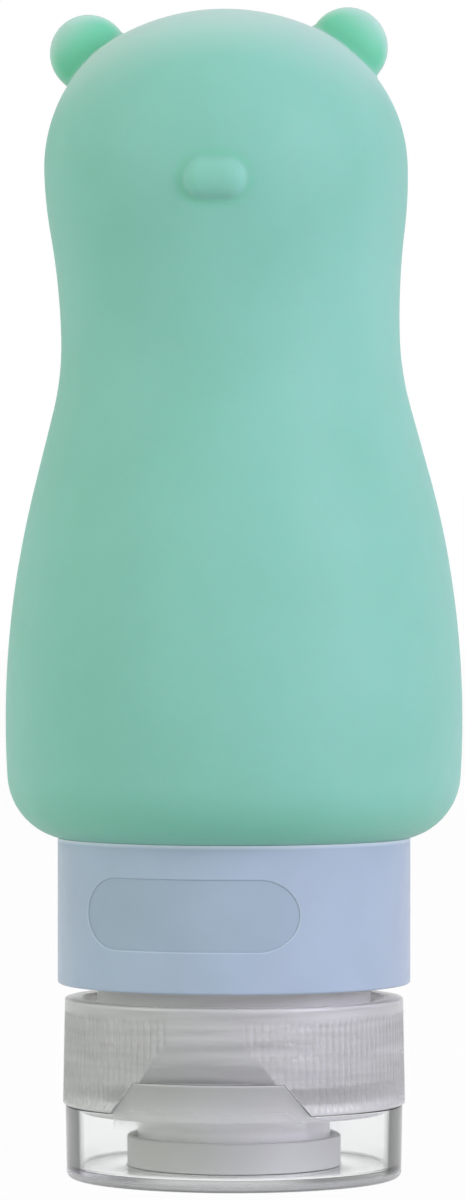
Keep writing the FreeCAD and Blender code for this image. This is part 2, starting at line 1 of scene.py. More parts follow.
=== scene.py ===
import math
import bmesh
import bpy
import numpy as np
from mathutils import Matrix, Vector


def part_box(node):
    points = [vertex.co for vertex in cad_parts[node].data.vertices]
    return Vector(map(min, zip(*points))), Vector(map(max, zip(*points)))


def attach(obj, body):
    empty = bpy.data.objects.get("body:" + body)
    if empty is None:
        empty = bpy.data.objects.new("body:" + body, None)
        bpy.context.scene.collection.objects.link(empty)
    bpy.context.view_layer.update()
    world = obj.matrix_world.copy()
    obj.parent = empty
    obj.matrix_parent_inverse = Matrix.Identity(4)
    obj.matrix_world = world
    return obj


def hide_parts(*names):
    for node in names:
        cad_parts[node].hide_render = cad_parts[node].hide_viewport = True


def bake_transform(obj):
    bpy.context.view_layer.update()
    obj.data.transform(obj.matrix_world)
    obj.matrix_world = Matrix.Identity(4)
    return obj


# Bear-shaped travel squeeze bottle, standing on its closed flip-top cap.
# Sizes in the dictionaries are millimetres and degrees. Blender itself works in metres.

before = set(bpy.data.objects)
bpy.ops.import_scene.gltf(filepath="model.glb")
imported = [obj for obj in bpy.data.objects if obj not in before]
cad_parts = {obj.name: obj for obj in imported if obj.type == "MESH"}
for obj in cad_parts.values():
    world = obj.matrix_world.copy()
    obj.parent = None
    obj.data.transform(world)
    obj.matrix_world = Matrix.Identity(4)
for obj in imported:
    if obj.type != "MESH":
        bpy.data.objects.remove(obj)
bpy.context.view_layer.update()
mm = 0.001
scene = bpy.context.scene


# foot and top of a CAD node
def levels(node):
    low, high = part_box(node)
    return low.z / mm, high.z / mm


def linear(hexColour):
    channels = [int(hexColour[i : i + 2], 16) / 255 for i in (1, 3, 5)]
    return [c / 12.92 if c <= 0.04045 else ((c + 0.055) / 1.055) ** 2.4 for c in channels] + [1]


# one node with its settings and links; an input is a value, a socket, or a node for its first socket in use
def addNode(tree, kind, inputs=None, **settings):
    node = tree.nodes.new(kind)
    for setting, value in settings.items():
        setattr(node, setting, value)
    for name, value in (inputs or {}).items():
        if isinstance(value, bpy.types.Node):
            value = next(socket for socket in value.outputs if socket.enabled)
        if isinstance(value, bpy.types.NodeSocket):
            tree.links.new(value, node.inputs[name])
        else:
            node.inputs[name].default_value = value
    return node


def newMaterial(name):
    material = bpy.data.materials.new(name)
    material.use_nodes = True
    material.node_tree.nodes.clear()
    return material, material.node_tree


# noise on Object coordinates with features of a real size, drawn out sideways by a stretch
def grain(tree, featureMm, detail=2.0, stretch=1.0):
    place = addNode(tree, "ShaderNodeTexCoord").outputs["Object"]
    flat = addNode(tree, "ShaderNodeMapping", {"Vector": place, "Scale": (1 / stretch, 1 / stretch, 1)})
    inputs = {"Vector": flat, "Scale": 1 / (featureMm * mm), "Detail": detail}
    return addNode(tree, "ShaderNodeTexNoise", inputs).outputs["Fac"]


noiseSpan = {"From Min": 0.3, "From Max": 0.7}  # most of a noise lies between these


# clouds of two shades; a Mix node's sockets 0, 6 and 7 are its share and its two colours
def clouds(tree, featureMm, darkHex, lightHex, detail=3.0, stretch=1.0):
    inputs = {"Value": grain(tree, featureMm, detail, stretch), **noiseSpan}
    share = addNode(tree, "ShaderNodeMapRange", inputs)
    inputs = {0: share, 6: linear(darkHex), 7: linear(lightHex)}
    return addNode(tree, "ShaderNodeMix", inputs, data_type="RGBA")


# moulded silicone rubber from a matt-etched tool: soft, dry, painted sheen at the edges, a little light goes
# in, with painted glow and crease shade
def siliconeRubber():
    material, tree = newMaterial("mint silicone rubber")
    glowAndShade = addNode(tree, "ShaderNodeAttribute", attribute_name="glowAndShade").outputs["Fac"]
    paleAndSheen = addNode(tree, "ShaderNodeAttribute", attribute_name="paleAndSheen").outputs["Fac"]
    pale = addNode(tree, "ShaderNodeAttribute", attribute_name="pale").outputs["Fac"]
    turned = addNode(tree, "ShaderNodeLayerWeight", {"Blend": 0.5}).outputs["Facing"]
    inputs = {"Value": turned, "From Min": 0.3, "To Min": pale, "To Max": paleAndSheen}
    paleSheenShare = addNode(tree, "ShaderNodeMapRange", inputs)
    shades = clouds(tree, 16, "#7EBAA9", "#84BFB0")
    # saturated green painted for the glow of light through the rubber and for shade in its creases
    body = addNode(tree, "ShaderNodeMix", {0: glowAndShade, 6: shades, 7: linear("#66C299")}, data_type="RGBA")
    # pale grey painted as sheen at the edges and on the crown, and as the paler ear tips
    colour = addNode(tree, "ShaderNodeMix", {0: paleSheenShare, 6: body, 7: linear("#CBD7D5")}, data_type="RGBA")
    # the real etching is finer, and is drawn half a millimetre wide so that it shows
    inputs = {"Strength": 0.2, "Distance": 0.02 * mm, "Height": grain(tree, 0.5)}
    skin = addNode(tree, "ShaderNodeBump", inputs)
    inputs = {"Value": grain(tree, 3), **noiseSpan, "To Min": 0.45, "To Max": 0.55}
    shader = addNode(tree, "ShaderNodeBsdfPrincipled", {
        "Base Color": colour,
        "Roughness": addNode(tree, "ShaderNodeMapRange", inputs),
        "IOR": 1.41,
        "Specular IOR Level": 0.2,
        "Subsurface Weight": 0.5,
        "Subsurface Radius": (0.4, 1.0, 0.7),
        "Subsurface Scale": 3.0 * mm,
        "Sheen Weight": 0.04,
        "Sheen Roughness": 0.45,
        "Sheen Tint": linear("#E0ECF2"),
        "Normal": skin,
    })
    addNode(tree, "ShaderNodeOutputMaterial", {"Surface": shader})
    return material


# injection-moulded polypropylene or silicone, pigmented: waxy satin, faint flow clouds, and painted light
# that lifts the shade in crevices
def satinMoulding(name, darkHex, lightHex, roughness):
    material, tree = newMaterial(name)
    creviceLight = addNode(tree, "ShaderNodeAttribute", attribute_name="creviceLight").outputs["Fac"]
    shades = clouds(tree, 9, darkHex, lightHex)
    # pale blue painted light that lifts the shade in the window and along the top lip
    colour = addNode(tree, "ShaderNodeMix", {0: creviceLight, 6: shades, 7: linear("#DCE8F2")}, data_type="RGBA")
    # the real tool marks are finer, and are drawn 0.9 mm wide so that they show
    inputs = {"Strength": 0.15, "Distance": 0.02 * mm, "Height": grain(tree, 0.9)}
    skin = addNode(tree, "ShaderNodeBump", inputs)
    inputs = {"Value": grain(tree, 2), **noiseSpan, "To Min": roughness - 0.04, "To Max": roughness + 0.04}
    shader = addNode(tree, "ShaderNodeBsdfPrincipled", {
        "Base Color": colour,
        "Roughness": addNode(tree, "ShaderNodeMapRange", inputs),
        "IOR": 1.49,
        "Specular IOR Level": 0.25,
        "Subsurface Weight": 0.12,
        "Subsurface Radius": (1.0, 1.0, 1.1),
        "Subsurface Scale": 0.4 * mm,
        "Normal": skin,
    })
    addNode(tree, "ShaderNodeOutputMaterial", {"Surface": shader})
    return material


# natural polypropylene, unpigmented: milky, lets light through but blurs what is behind,
# and the screw thread's shade seen through it is painted as faint level streaks
def naturalPolypropylene():
    material, tree = newMaterial("natural polypropylene")
    shade = addNode(tree, "ShaderNodeAttribute", attribute_name="scoopShade").outputs["Fac"]
    rim = addNode(tree, "ShaderNodeAttribute", attribute_name="rimLight").outputs["Fac"]
    # faint level streaks painted for the screw thread's shade seen through the wall
    milky = clouds(tree, 1.1, "#C5C6C5", "#D7D8D6", detail=2.0, stretch=14.0)
    lit = addNode(tree, "ShaderNodeMix", {0: rim, 6: milky, 7: linear("#E8E9E8")}, data_type="RGBA")
    colour = addNode(tree, "ShaderNodeMix", {0: shade, 6: lit, 7: linear("#848585")}, data_type="RGBA")
    inputs = {"Value": grain(tree, 3), **noiseSpan, "To Min": 0.2, "To Max": 0.26}
    shader = addNode(tree, "ShaderNodeBsdfPrincipled", {
        "Base Color": colour,
        "Roughness": addNode(tree, "ShaderNodeMapRange", inputs),
        "IOR": 1.49,
        "Transmission Weight": 0.6,
        "Subsurface Weight": 0.3,
        "Subsurface Radius": (1.0, 1.0, 1.0),
        "Subsurface Scale": 2.0 * mm,
    })
    haze = addNode(tree, "ShaderNodeVolumeAbsorption", {"Color": linear("#BCBEBE"), "Density": 40})
    addNode(tree, "ShaderNodeOutputMaterial", {"Surface": shader, "Volume": haze})
    return material


# clear styrene-acrylic: polished and nearly colourless, with painted shade where the wall turns away from the
# eye, and matt on the tab, the spout's ring and the foot's corner, where the tool was left etched, with a
# painted highlight on the tab's top edge
def clearPlastic():
    material, tree = newMaterial("clear moulded plastic")
    etched = addNode(tree, "ShaderNodeAttribute", attribute_name="etched").outputs["Fac"]
    wall = addNode(tree, "ShaderNodeAttribute", attribute_name="sideWall").outputs["Fac"]
    highlightShare = addNode(tree, "ShaderNodeAttribute", attribute_name="tabTopHighlight").outputs["Fac"]
    turned = addNode(tree, "ShaderNodeLayerWeight", {"Blend": 0.5}).outputs["Facing"]
    # painted shade: dark grey where the side wall turns away from the eye
    inputs = {"Value": turned, "From Min": 0.54, "From Max": 0.62, "To Max": wall}
    away = addNode(tree, "ShaderNodeMapRange", inputs)
    # the etched grey, painted lighter as a highlight on the tab's top edge
    inputs = {0: highlightShare, 6: linear("#B9BBB8"), 7: linear("#D2D3D2")}
    matt = addNode(tree, "ShaderNodeMix", inputs, data_type="RGBA")
    polished = addNode(tree, "ShaderNodeMix", {0: etched, 6: linear("#FBFCFC"), 7: matt}, data_type="RGBA")
    colour = addNode(tree, "ShaderNodeMix", {0: away, 6: polished, 7: linear("#2C2D2E")}, data_type="RGBA")
    dull = addNode(tree, "ShaderNodeMapRange", {"Value": etched, "To Min": 0.05, "To Max": 0.5})
    clearness = addNode(tree, "ShaderNodeMapRange", {"Value": etched, "To Min": 1.0, "To Max": 0.5})
    shader = addNode(tree, "ShaderNodeBsdfPrincipled", {
        "Base Color": colour,
        "Roughness": dull,
        "IOR": 1.5,
        "Transmission Weight": clearness,
    })
    haze = addNode(tree, "ShaderNodeVolumeAbsorption", {"Color": linear("#BCBEBE"), "Density": 34})
    addNode(tree, "ShaderNodeOutputMaterial", {"Surface": shader, "Volume": haze})
    return material


silicone = siliconeRubber()
collarPlastic = satinMoulding("pale blue polypropylene", "#9DADBD", "#A3B3C5", 0.36)
indicatorPlastic = satinMoulding("pale blue polypropylene, inner ring", "#95A6B4", "#9BACBC", 0.42)
neckPlastic = satinMoulding("off-white polypropylene", "#DCDCDC", "#E2E2E2", 0.4)
sealRubber = satinMoulding("soft white silicone", "#C9CBCB", "#D2D4D4", 0.55)
capPlastic = naturalPolypropylene()
lidPlastic = clearPlastic()
print("materials:", len(bpy.data.materials))

arcStep = 7  # widest step along an arc, in degrees
creaseAngle = 38
mergeDistance = 1e-4
hair, near, clear = 0.01, 0.05, 0.1  # how close a point lies to a face that it belongs to, or keeps off


# points along an arc, in degrees, closer together on a tight one
def arcPoints(centre, radius, start, stop, spacing):
    turn = abs(math.radians(stop - start))
    count = max(2, math.ceil(turn * radius / spacing), math.ceil(turn / math.radians(arcStep)))
    angles = np.radians(np.linspace(start, stop, count + 1))
    return [(centre[0] + radius * math.cos(a), centre[1] + radius * math.sin(a)) for a in angles]


# an outline of (across, up, round) corners with its corners rounded
def rounded(corners, closed=True):
    points = []
    for place, (across, up, bend) in enumerate(corners):
        here = Vector((across, up))
        ending = not closed and place in (0, len(corners) - 1)
        if ending or not bend:
            points.append((across, up))
            continue
        before = (Vector(corners[place - 1][:2]) - here).normalized()
        after = (Vector(corners[(place + 1) % len(corners)][:2]) - here).normalized()
        half = before.angle(after) / 2
        centre = here + (before + after).normalized() * bend / math.sin(half)
        first = here + before * bend / math.tan(half) - centre
        last = here + after * bend / math.tan(half) - centre
        start = math.degrees(math.atan2(first.y, first.x))
        sweep = (math.degrees(math.atan2(last.y, last.x)) - start + 180) % 360 - 180
        points += arcPoints(centre, bend, start, start + sweep, bend)
    return points


# section of a plain ring or strap, all four edges rounded alike
def plainSection(left, right, foot, top, edge):
    return rounded([(left, foot, edge), (right, foot, edge), (right, top, edge), (left, top, edge)])


def rowsBetween(first, last, spacing):
    return np.linspace(first, last, math.ceil(abs(last - first) / spacing) + 1)


def meshFrom(name, points, faces, merge=True):
    mesh = bpy.data.meshes.new(name)
    mesh.from_pydata((np.asarray(points).reshape(-1, 3) * mm).tolist(), [], faces)
    work = bmesh.new()
    work.from_mesh(mesh)
    if merge:
        bmesh.ops.remove_doubles(work, verts=work.verts, dist=mergeDistance * mm)
    bmesh.ops.recalc_face_normals(work, faces=work.faces)
    work.to_mesh(mesh)
    work.free()
    return mesh


# faces between rows of rings, points[row, place round the axis]
def ringFaces(rows, segments, closed, first=0):
    faces = []
    for row in range(rows if closed else rows - 1):
        here, above = first + row * segments, first + (row + 1) % rows * segments
        for place in range(segments):
            following = (place + 1) % segments
            faces.append((here + place, here + following, above + following, above + place))
    return faces


def aroundAxis(segments):
    return np.arange(segments) * 2 * math.pi / segments


def ringPoints(radius, height, angle=None):
    if angle is None:
        angle = aroundAxis(radius.shape[1])
    return np.stack([radius * np.cos(angle), radius * np.sin(angle), height], axis=-1)


def lathePoints(outline, segments):
    outline = np.asarray(outline)
    radius, height = (np.repeat(outline[:, i, None], segments, axis=1) for i in (0, 1))
    return ringPoints(radius, height)


def lathe(name, outline, segments, closed=True):
    points = lathePoints(outline, segments)
    return meshFrom(name, points, ringFaces(len(points), segments, closed))


def newObject(name, mesh, material=None):
    thing = bpy.data.objects.new(name, mesh)
    scene.collection.objects.link(thing)
    if material:
        mesh.materials.append(material)
    return thing


# the object's mesh with its modifiers worked in, and no modifier left
def settle(thing):
    bpy.context.view_layer.update()
    made = thing.evaluated_get(bpy.context.evaluated_depsgraph_get())
    mesh = bpy.data.meshes.new_from_object(made)
    thing.modifiers.clear()
    thing.data = mesh


def carve(thing, cutter):
    cut = thing.modifiers.new("cut", "BOOLEAN")
    cut.operation = "DIFFERENCE"
    cut.solver = "EXACT"
    cut.object = cutter
    settle(thing)
    bpy.data.objects.remove(cutter)


def smoothShade(thing):
    thing.data.shade_smooth()
    thing.data.set_sharp_from_angle(angle=math.radians(creaseAngle))


def standFor(thing, node, body):
    smoothShade(thing)
    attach(thing, body)
    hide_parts(node)
    print("piece:", thing.name, len(thing.data.polygons), "faces on", body)


def smoothStep(value, low, high):
    share = np.clip((value - low) / (high - low), 0, 1)
    return share * share * (3 - 2 * share)


def smoothMin(first, second, blend):
    share = np.clip(0.5 + 0.5 * (second - first) / blend, 0, 1)
    return second * (1 - share) + first * share - blend * share * (1 - share)


def setValue(mesh, name, values):
    mesh.attributes.new(name, "FLOAT", "POINT").data.foreach_set("value", np.ravel(values).astype(np.float32))


def verticesOf(mesh):
    places = np.empty(len(mesh.vertices) * 3)
    mesh.vertices.foreach_get("co", places)
    return places.reshape(-1, 3) / mm


# Geometry Nodes that shift a wall towards or away from the axis, by steps that start from angle and height
def wallTree(name, sizes, steps):
    tree = bpy.data.node_groups.new(name, "GeometryNodeTree")
    tree.interface.new_socket("Geometry", in_out="INPUT", socket_type="NodeSocketGeometry")
    for size in sizes:
        tree.interface.new_socket(size, in_out="INPUT", socket_type="NodeSocketFloat")
    tree.interface.new_socket("Finish", in_out="INPUT", socket_type="NodeSocketMaterial")
    tree.interface.new_socket("Geometry", in_out="OUTPUT", socket_type="NodeSocketGeometry")
    given = addNode(tree, "NodeGroupInput").outputs
    position = addNode(tree, "GeometryNodeInputPosition")
    place = addNode(tree, "ShaderNodeSeparateXYZ", {0: position}).outputs
    angle = addNode(tree, "ShaderNodeMath", {0: place["Y"], 1: place["X"]}, operation="ARCTAN2")
    weight = addNode(tree, "GeometryNodeInputNamedAttribute", {"Name": name + "Weight"}, data_type="FLOAT")
    values = {"angle": angle, "up": place["Z"], **{size: given[size] for size in sizes}}
    for result, operation, *parts in steps:
        parts = [values.get(part, part) for part in parts]
        if operation == "RAMP":
            inputs = dict(zip(("Value", "From Min", "From Max"), parts))
            values[result] = addNode(tree, "ShaderNodeMapRange", inputs, interpolation_type="SMOOTHSTEP")
        else:
            values[result] = addNode(tree, "ShaderNodeMath", dict(enumerate(parts)), operation=operation)
    inputs = {0: values["shift"], 1: weight}
    shift = addNode(tree, "ShaderNodeMath", inputs, operation="MULTIPLY")
    level = addNode(tree, "ShaderNodeCombineXYZ", {"X": place["X"], "Y": place["Y"]})
    outward = addNode(tree, "ShaderNodeVectorMath", {0: level}, operation="NORMALIZE")
    offset = addNode(tree, "ShaderNodeVectorMath", {0: outward, "Scale": shift}, operation="SCALE")
    moved = addNode(tree, "GeometryNodeSetPosition", {"Geometry": given["Geometry"], "Offset": offset})
    plain = addNode(tree, "GeometryNodeRealizeInstances", {"Geometry": moved})
    done = addNode(tree, "GeometryNodeSetMaterial", {"Geometry": plain, "Material": given["Finish"]})
    addNode(tree, "NodeGroupOutput", {"Geometry": done})
    return tree


def shapeWall(thing, tree, material, **sizes):
    modifier = thing.modifiers.new(tree.name, "NODES")
    modifier.node_group = tree
    for socket in tree.interface.items_tree:
        if socket.in_out == "INPUT" and socket.name in sizes:
            modifier[socket.identifier] = sizes[socket.name]
        if socket.name == "Finish":
            modifier[socket.identifier] = material
    settle(thing)


# grip ribs: round crests with narrow grooves between them
ribSteps = [
    ("half", "MULTIPLY", "Ribs", 0.5),
    ("phase", "MULTIPLY", "angle", "half"),
    ("wave", "SINE", "phase"),
    ("crest", "ABSOLUTE", "wave"),
    ("groove", "SUBTRACT", "crest", 1),
    ("shift", "MULTIPLY", "groove", "Depth"),
]

# right-hand screw thread: its flanks as shares of the pitch, and the height over which it runs in and out
thread = dict(flankFoot=0.3, flankTop=0.13, runOut=0.8)
threadSteps = [
    ("risen", "DIVIDE", "up", "Pitch"),
    ("turned", "DIVIDE", "angle", 2 * math.pi),
    ("turns", "SUBTRACT", "risen", "turned"),
    ("started", "ADD", "turns", "Start"),
    ("share", "FRACT", "started"),
    ("aside", "SUBTRACT", "share", 0.5),
    ("away", "ABSOLUTE", "aside"),
    ("ridge", "RAMP", "away", thread["flankFoot"], thread["flankTop"]),
    ("full", "ADD", "Foot", thread["runOut"] * mm),
    ("runIn", "RAMP", "up", "Foot", "full"),
    ("fading", "SUBTRACT", "Top", thread["runOut"] * mm),
    ("runOut", "RAMP", "up", "Top", "fading"),
    ("raised", "MULTIPLY", "Height", "ridge"),
    ("entered", "MULTIPLY", "raised", "runIn"),
    ("shift", "MULTIPLY", "entered", "runOut"),
]

ribTree = wallTree("gripRibs", ["Ribs", "Depth"], ribSteps)
threadTree = wallTree("screwThread", ["Pitch", "Height", "Foot", "Top", "Start"], threadSteps)
print("wall trees: ribs and thread")

# silicone bottle: one shell, ears and nose grown out of the head
bear = dict(
    headRadius=19.05,
    crownFlattening=2.35,  # crown lower than half a ball
    templeInset=3.05,
    cheekRound=45.0,
    waistHollow=1.3,
    waistDrop=17.6,
    waistRound=30.0,
    flankLength=7.7,
    bellyRadius=23.95,
    bellyRise=12.55,
    baseRound=7.0,
    wall=2.0,
    collarGap=0.02,
    sleeveRadius=15.9,
    sleeveBore=14.4,
    sleeveEdge=0.3,
    earRadius=4.15,
    earHalfDepth=3.0,
    earInset=5.4,
    earDrop=4.2,
    earsAside=0.33,  # the soft ears sit a little to one side
    earSetBack=1.0,
    earCrease=0.45,
    noseStraight=1.2,
    noseRadius=1.92,
    noseDrop=2.05,
    noseRelief=1.2,
    noseCrease=0.6,
    noseSink=0.1,
    leanStart=64.0,  # the soft bottle leans a little to one side from here up
    leanAtCrown=1.4,
    leanPower=1.5,
    leanTilt=0.65,
    browLean=0.12,  # and a little more between these, above the brow and below the crown
    browRise=3.0,
    browDrop=2.0,
    headSpacing=0.42,
    bodySpacing=1.1,
    insideSpacing=2.2,
    segments=288,
    featureDrop=9.0,  # ears and nose lie above this, under the head's widest level
    earZone=3.2,  # the head's points this near are drawn out over ear or nose
    noseZone=2.2,
    growMargin=2.0,
    growRate=0.8,
    growSteps=80,
    evenRate=0.5,
    evenSteps=160,
    pullSteps=2,
    earGlowShade=0.75,  # painted glow of light through the rubber and painted shade in its creases, and where they fade
    earEdge=(0.05, 0.5),
    earFade=(0.8, 6.0),
    noseCreaseShade=0.3,
    noseEdge=(0.1, 0.35),
    noseFade=(0.5, 1.5),
    footGlowShade=0.3,
    footFade=(0.5, 7.0),
    tipPaleness=0.6,
    tipSkin=0.3,
    tipFade=(1.5, 6.2),
    edgeSheen=0.08,  # painted sheen seen at the edges, and more on the crown
    crownSheen=0.54,
    crownFade=4.0,
)
bearFoot, bearTop = levels("silicone_bottle")
bearBase = levels("collar")[1] + bear["collarGap"]
headLevel = bearTop - bear["headRadius"] + bear["crownFlattening"]


def crownRound():
    rise = bear["headRadius"] - bear["crownFlattening"]
    temple = bear["headRadius"] - bear["templeInset"]
    return (bear["templeInset"] ** 2 + rise**2 - temple**2) / (2 * (rise - temple))


# the bear's half outline from the crown to the collar, drawn in by inset
def bearOutline(inset, headSpacing, bodySpacing):
    head, belly = bear["headRadius"], bear["bellyRadius"]
    waist, hollow = head - bear["waistHollow"], bear["waistRound"]
    waistLevel, bellyLevel = headLevel - bear["waistDrop"], bearBase + bear["bellyRise"]
    temple, cheek = head - bear["templeInset"], bear["cheekRound"]
    crown = crownRound()
    crownLevel = bearTop - crown
    crownAngle = math.degrees(math.atan2(headLevel - crownLevel, bear["templeInset"]))
    back = (bear["waistDrop"] ** 2 + bear["waistHollow"] ** 2) / (2 * bear["waistHollow"]) - cheek
    cheekAngle = -math.degrees(math.atan2(bear["waistDrop"], waist + back - head + cheek))
    swell, fall = belly - waist, waistLevel - bellyLevel
    paunch = (swell**2 + fall**2 - bear["flankLength"] ** 2) / (2 * swell) - hollow
    spanAcross = hollow + paunch - swell
    span = math.hypot(spanAcross, fall)
    flankAngle = math.degrees(math.atan2(fall, spanAcross) - math.acos((hollow + paunch) / span))
    base = bear["baseRound"]
    baseDrop = bearBase + base - bellyLevel
    baseReach = math.sqrt((paunch - base) ** 2 - baseDrop**2)
    baseAngle = math.degrees(math.atan2(baseDrop, baseReach))
    arcs = [
        ((0, crownLevel), crown - inset, 90, crownAngle, headSpacing),
        ((bear["templeInset"], headLevel), temple - inset, crownAngle, 0, headSpacing),
        ((head - cheek, headLevel), cheek - inset, 0, cheekAngle, headSpacing),
        ((waist + back, waistLevel), back + inset, 180 + cheekAngle, 180, bodySpacing),
        ((waist + hollow, waistLevel), hollow + inset, 180, 180 + flankAngle, bodySpacing),
        ((belly - paunch, bellyLevel), paunch - inset, flankAngle, baseAngle, bodySpacing),
        ((belly - paunch + baseReach, bearBase + base), base - inset, baseAngle, -90, bodySpacing),
    ]
    points = []
    for arc in arcs:
        points += [p for p in arcPoints(*arc) if not points or math.dist(p, points[-1]) > mm]
    return points


def headDistance(points):
    across, up = np.hypot(points[..., 0], points[..., 1]), points[..., 2]
    crown, inset, cheek = crownRound(), bear["templeInset"], bear["cheekRound"]
    crownLevel = bearTop - crown
    onCrown = (up - crownLevel) * inset > across * (headLevel - crownLevel)
    upper = np.where(
        onCrown,
        np.hypot(across, up - crownLevel) - crown,
        np.hypot(across - inset, up - headLevel) - bear["headRadius"] + inset,
    )
    lower = np.hypot(across - bear["headRadius"] + cheek, up - headLevel) - cheek
    return np.where(up > headLevel, upper, lower)


def bulge(offset, radii):
    scaled = np.linalg.norm(offset / radii, axis=-1)
    slope = np.linalg.norm(offset / np.square(radii), axis=-1)
    return scaled * (scaled - 1) / np.maximum(slope, 1e-9)


def earDistance(points):
    middle = (bear["headRadius"] - bear["earInset"], bear["earSetBack"], bearTop - bear["earDrop"])
    across = np.abs(points[..., 0] + bear["earsAside"])
    offset = np.stack([across, points[..., 1], points[..., 2]], axis=-1) - middle
    return bulge(offset, np.array([bear["earRadius"], bear["earHalfDepth"], bear["earRadius"]]))


def noseDistance(points):
    aside = np.maximum(np.abs(points[..., 0]) - bear["noseStraight"], 0)
    forward = points[..., 1] + bear["headRadius"] - bear["noseSink"]
    offset = np.stack([aside, forward, points[..., 2] - headLevel + bear["noseDrop"]], axis=-1)
    return bulge(offset, np.array([bear["noseRadius"], bear["noseRelief"], bear["noseRadius"]]))


def bearDistance(points):
    face = smoothMin(headDistance(points), noseDistance(points), bear["noseCrease"])
    return smoothMin(face, earDistance(points), bear["earCrease"])


def slopeOf(distance, points, step=0.01):
    shifts = np.eye(3) * step
    return np.stack([distance(points + s) - distance(points - s) for s in shifts], axis=-1) / (2 * step)


# pulls the rows of the plain head out over ears and nose, and evens the mesh on them
def growFeatures(head):
    chosen = (earDistance(head) < bear["earZone"]) | (noseDistance(head) < bear["noseZone"])
    outward = slopeOf(headDistance, head[chosen])
    reach = head[chosen] + outward * (bear["earRadius"] + bear["growMargin"])
    for step in range(bear["growSteps"]):
        reach -= outward * (bearDistance(reach) * bear["growRate"])[:, None]
    head[chosen] = reach
    for step in range(bear["evenSteps"]):
        around = (np.roll(head, 1, 1) + np.roll(head, -1, 1) + np.roll(head, 1, 0) + np.roll(head, -1, 0)) / 4
        points = (head + bear["evenRate"] * (around - head))[chosen]
        for pull in range(bear["pullSteps"]):
            slope = slopeOf(bearDistance, points)
            points -= slope * (bearDistance(points) / np.sum(slope**2, axis=1))[:, None]
        head[chosen] = points


def lean(points):
    share = np.clip((points[..., 2] - bear["leanStart"]) / (bearTop - bear["leanStart"]), 0, None)
    across = bear["leanAtCrown"] * share ** bear["leanPower"]
    brow, crown = headLevel + bear["browRise"], bearTop - bear["browDrop"]
    across += bear["browLean"] * smoothStep(points[..., 2], brow, crown)
    tilt = bear["leanTilt"] * bear["leanPower"] * bear["leanAtCrown"] * share ** (bear["leanPower"] - 1)
    points[..., 2] += points[..., 0] * tilt / (bearTop - bear["leanStart"])
    points[..., 0] -= across


# a saturated green painted for light through the rubber and for shade in its creases: at the ears, round the
# nose and along the turned-in foot
def paintedGlowAndShade(points):
    onEar = 1 - smoothStep(earDistance(points), *bear["earEdge"])
    fading = 1 - smoothStep(headDistance(points), *bear["earFade"])
    atFoot = 1 - smoothStep(points[..., 2] - bearBase, *bear["footFade"])
    fromNose = noseDistance(points)
    roundNose = smoothStep(fromNose, *bear["noseEdge"]) * (1 - smoothStep(fromNose, *bear["noseFade"]))
    elsewhere = np.maximum(bear["footGlowShade"] * atFoot, bear["noseCreaseShade"] * roundNose)
    return np.maximum(bear["earGlowShade"] * onEar * fading, elsewhere)


# where the rubber looks pale from any side: the tips of its ears
def paleness(points):
    onEar = (earDistance(points) < bear["tipSkin"]) * smoothStep(headDistance(points), *bear["tipFade"])
    return bear["tipPaleness"] * onEar


def siliconeBottle():
    outside = bearOutline(0, bear["headSpacing"], bear["bodySpacing"])
    inside = bearOutline(bear["wall"], bear["insideSpacing"], bear["insideSpacing"])
    sleeve = rounded([
        (*outside[-1], 0),
        (bear["sleeveRadius"], bearBase, bear["sleeveEdge"]),
        (bear["sleeveRadius"], bearFoot, bear["sleeveEdge"]),
        (bear["sleeveBore"], bearFoot, bear["sleeveEdge"]),
        (bear["sleeveBore"], bearBase + bear["wall"], bear["sleeveEdge"]),
        (*inside[-1], 0),
    ], closed=False)
    points = lathePoints(outside[:-1] + sleeve + inside[-2::-1], bear["segments"])
    headRows = sum(up > headLevel - bear["featureDrop"] for across, up in outside)
    growFeatures(points[:headRows])
    mesh = meshFrom("siliconeBottle", points, ringFaces(len(points), bear["segments"], False))
    places = verticesOf(mesh)
    pale = paleness(places)
    onCrown = smoothStep(places[:, 2], headLevel + bear["crownFade"], bearTop - bear["crownFade"])
    # painted glow and crease shade at the ears, round the nose and along the foot
    setValue(mesh, "glowAndShade", paintedGlowAndShade(places))
    setValue(mesh, "pale", pale)
    # painted sheen at the edges and more on the crown, with the pale ear tips
    setValue(mesh, "paleAndSheen", np.maximum(pale, bear["edgeSheen"] + bear["crownSheen"] * onCrown))
    lean(places)
    mesh.vertices.foreach_set("co", np.ravel(places * mm))
    standFor(newObject("siliconeBottle", mesh, silicone), "silicone_bottle", "bottle")


siliconeBottle()

# collar with a window for the label ring behind it
collar = dict(
    radius=18.5,
    wall=0.8,
    edge=0.3,
    innerEdge=0.15,
    hookBore=16.15,
    hookFoot=1.9,
    hookTop=2.9,
    windowLength=22.8,
    windowHeight=7.4,
    windowRise=8.05,
    windowEdge=0.15,
    windowSteps=49,
    flareSteps=7,
    flareEnd=80,
    plugInside=3.0,  # the window's plug reaches this far in and out of the wall
    plugOutside=1.0,
    windowWall=0.16,  # the wall is thinned inside where the label band runs
    bandMargin=0.9,  # beyond the window, above and below
    topEdge=0.02,
    topLip=0.22,  # the outer edge reaches up to the bottle's turned-in foot
    lipDepth=0.25,
    # painted light that lifts the shade in the window and along the top lip
    windowLightPaint=0.2,
    windowReach=5.0,
    lipLightPaint=0.8,
    turned=-13.0,
    segments=240,
)
collarFoot, collarTop = levels("collar")
windowLevel = collarFoot + collar["windowRise"]


# the levels between which the label band runs in the collar's groove
def labelBand():
    half = collar["windowHeight"] / 2 + collar["bandMargin"]
    return windowLevel - half, windowLevel + half


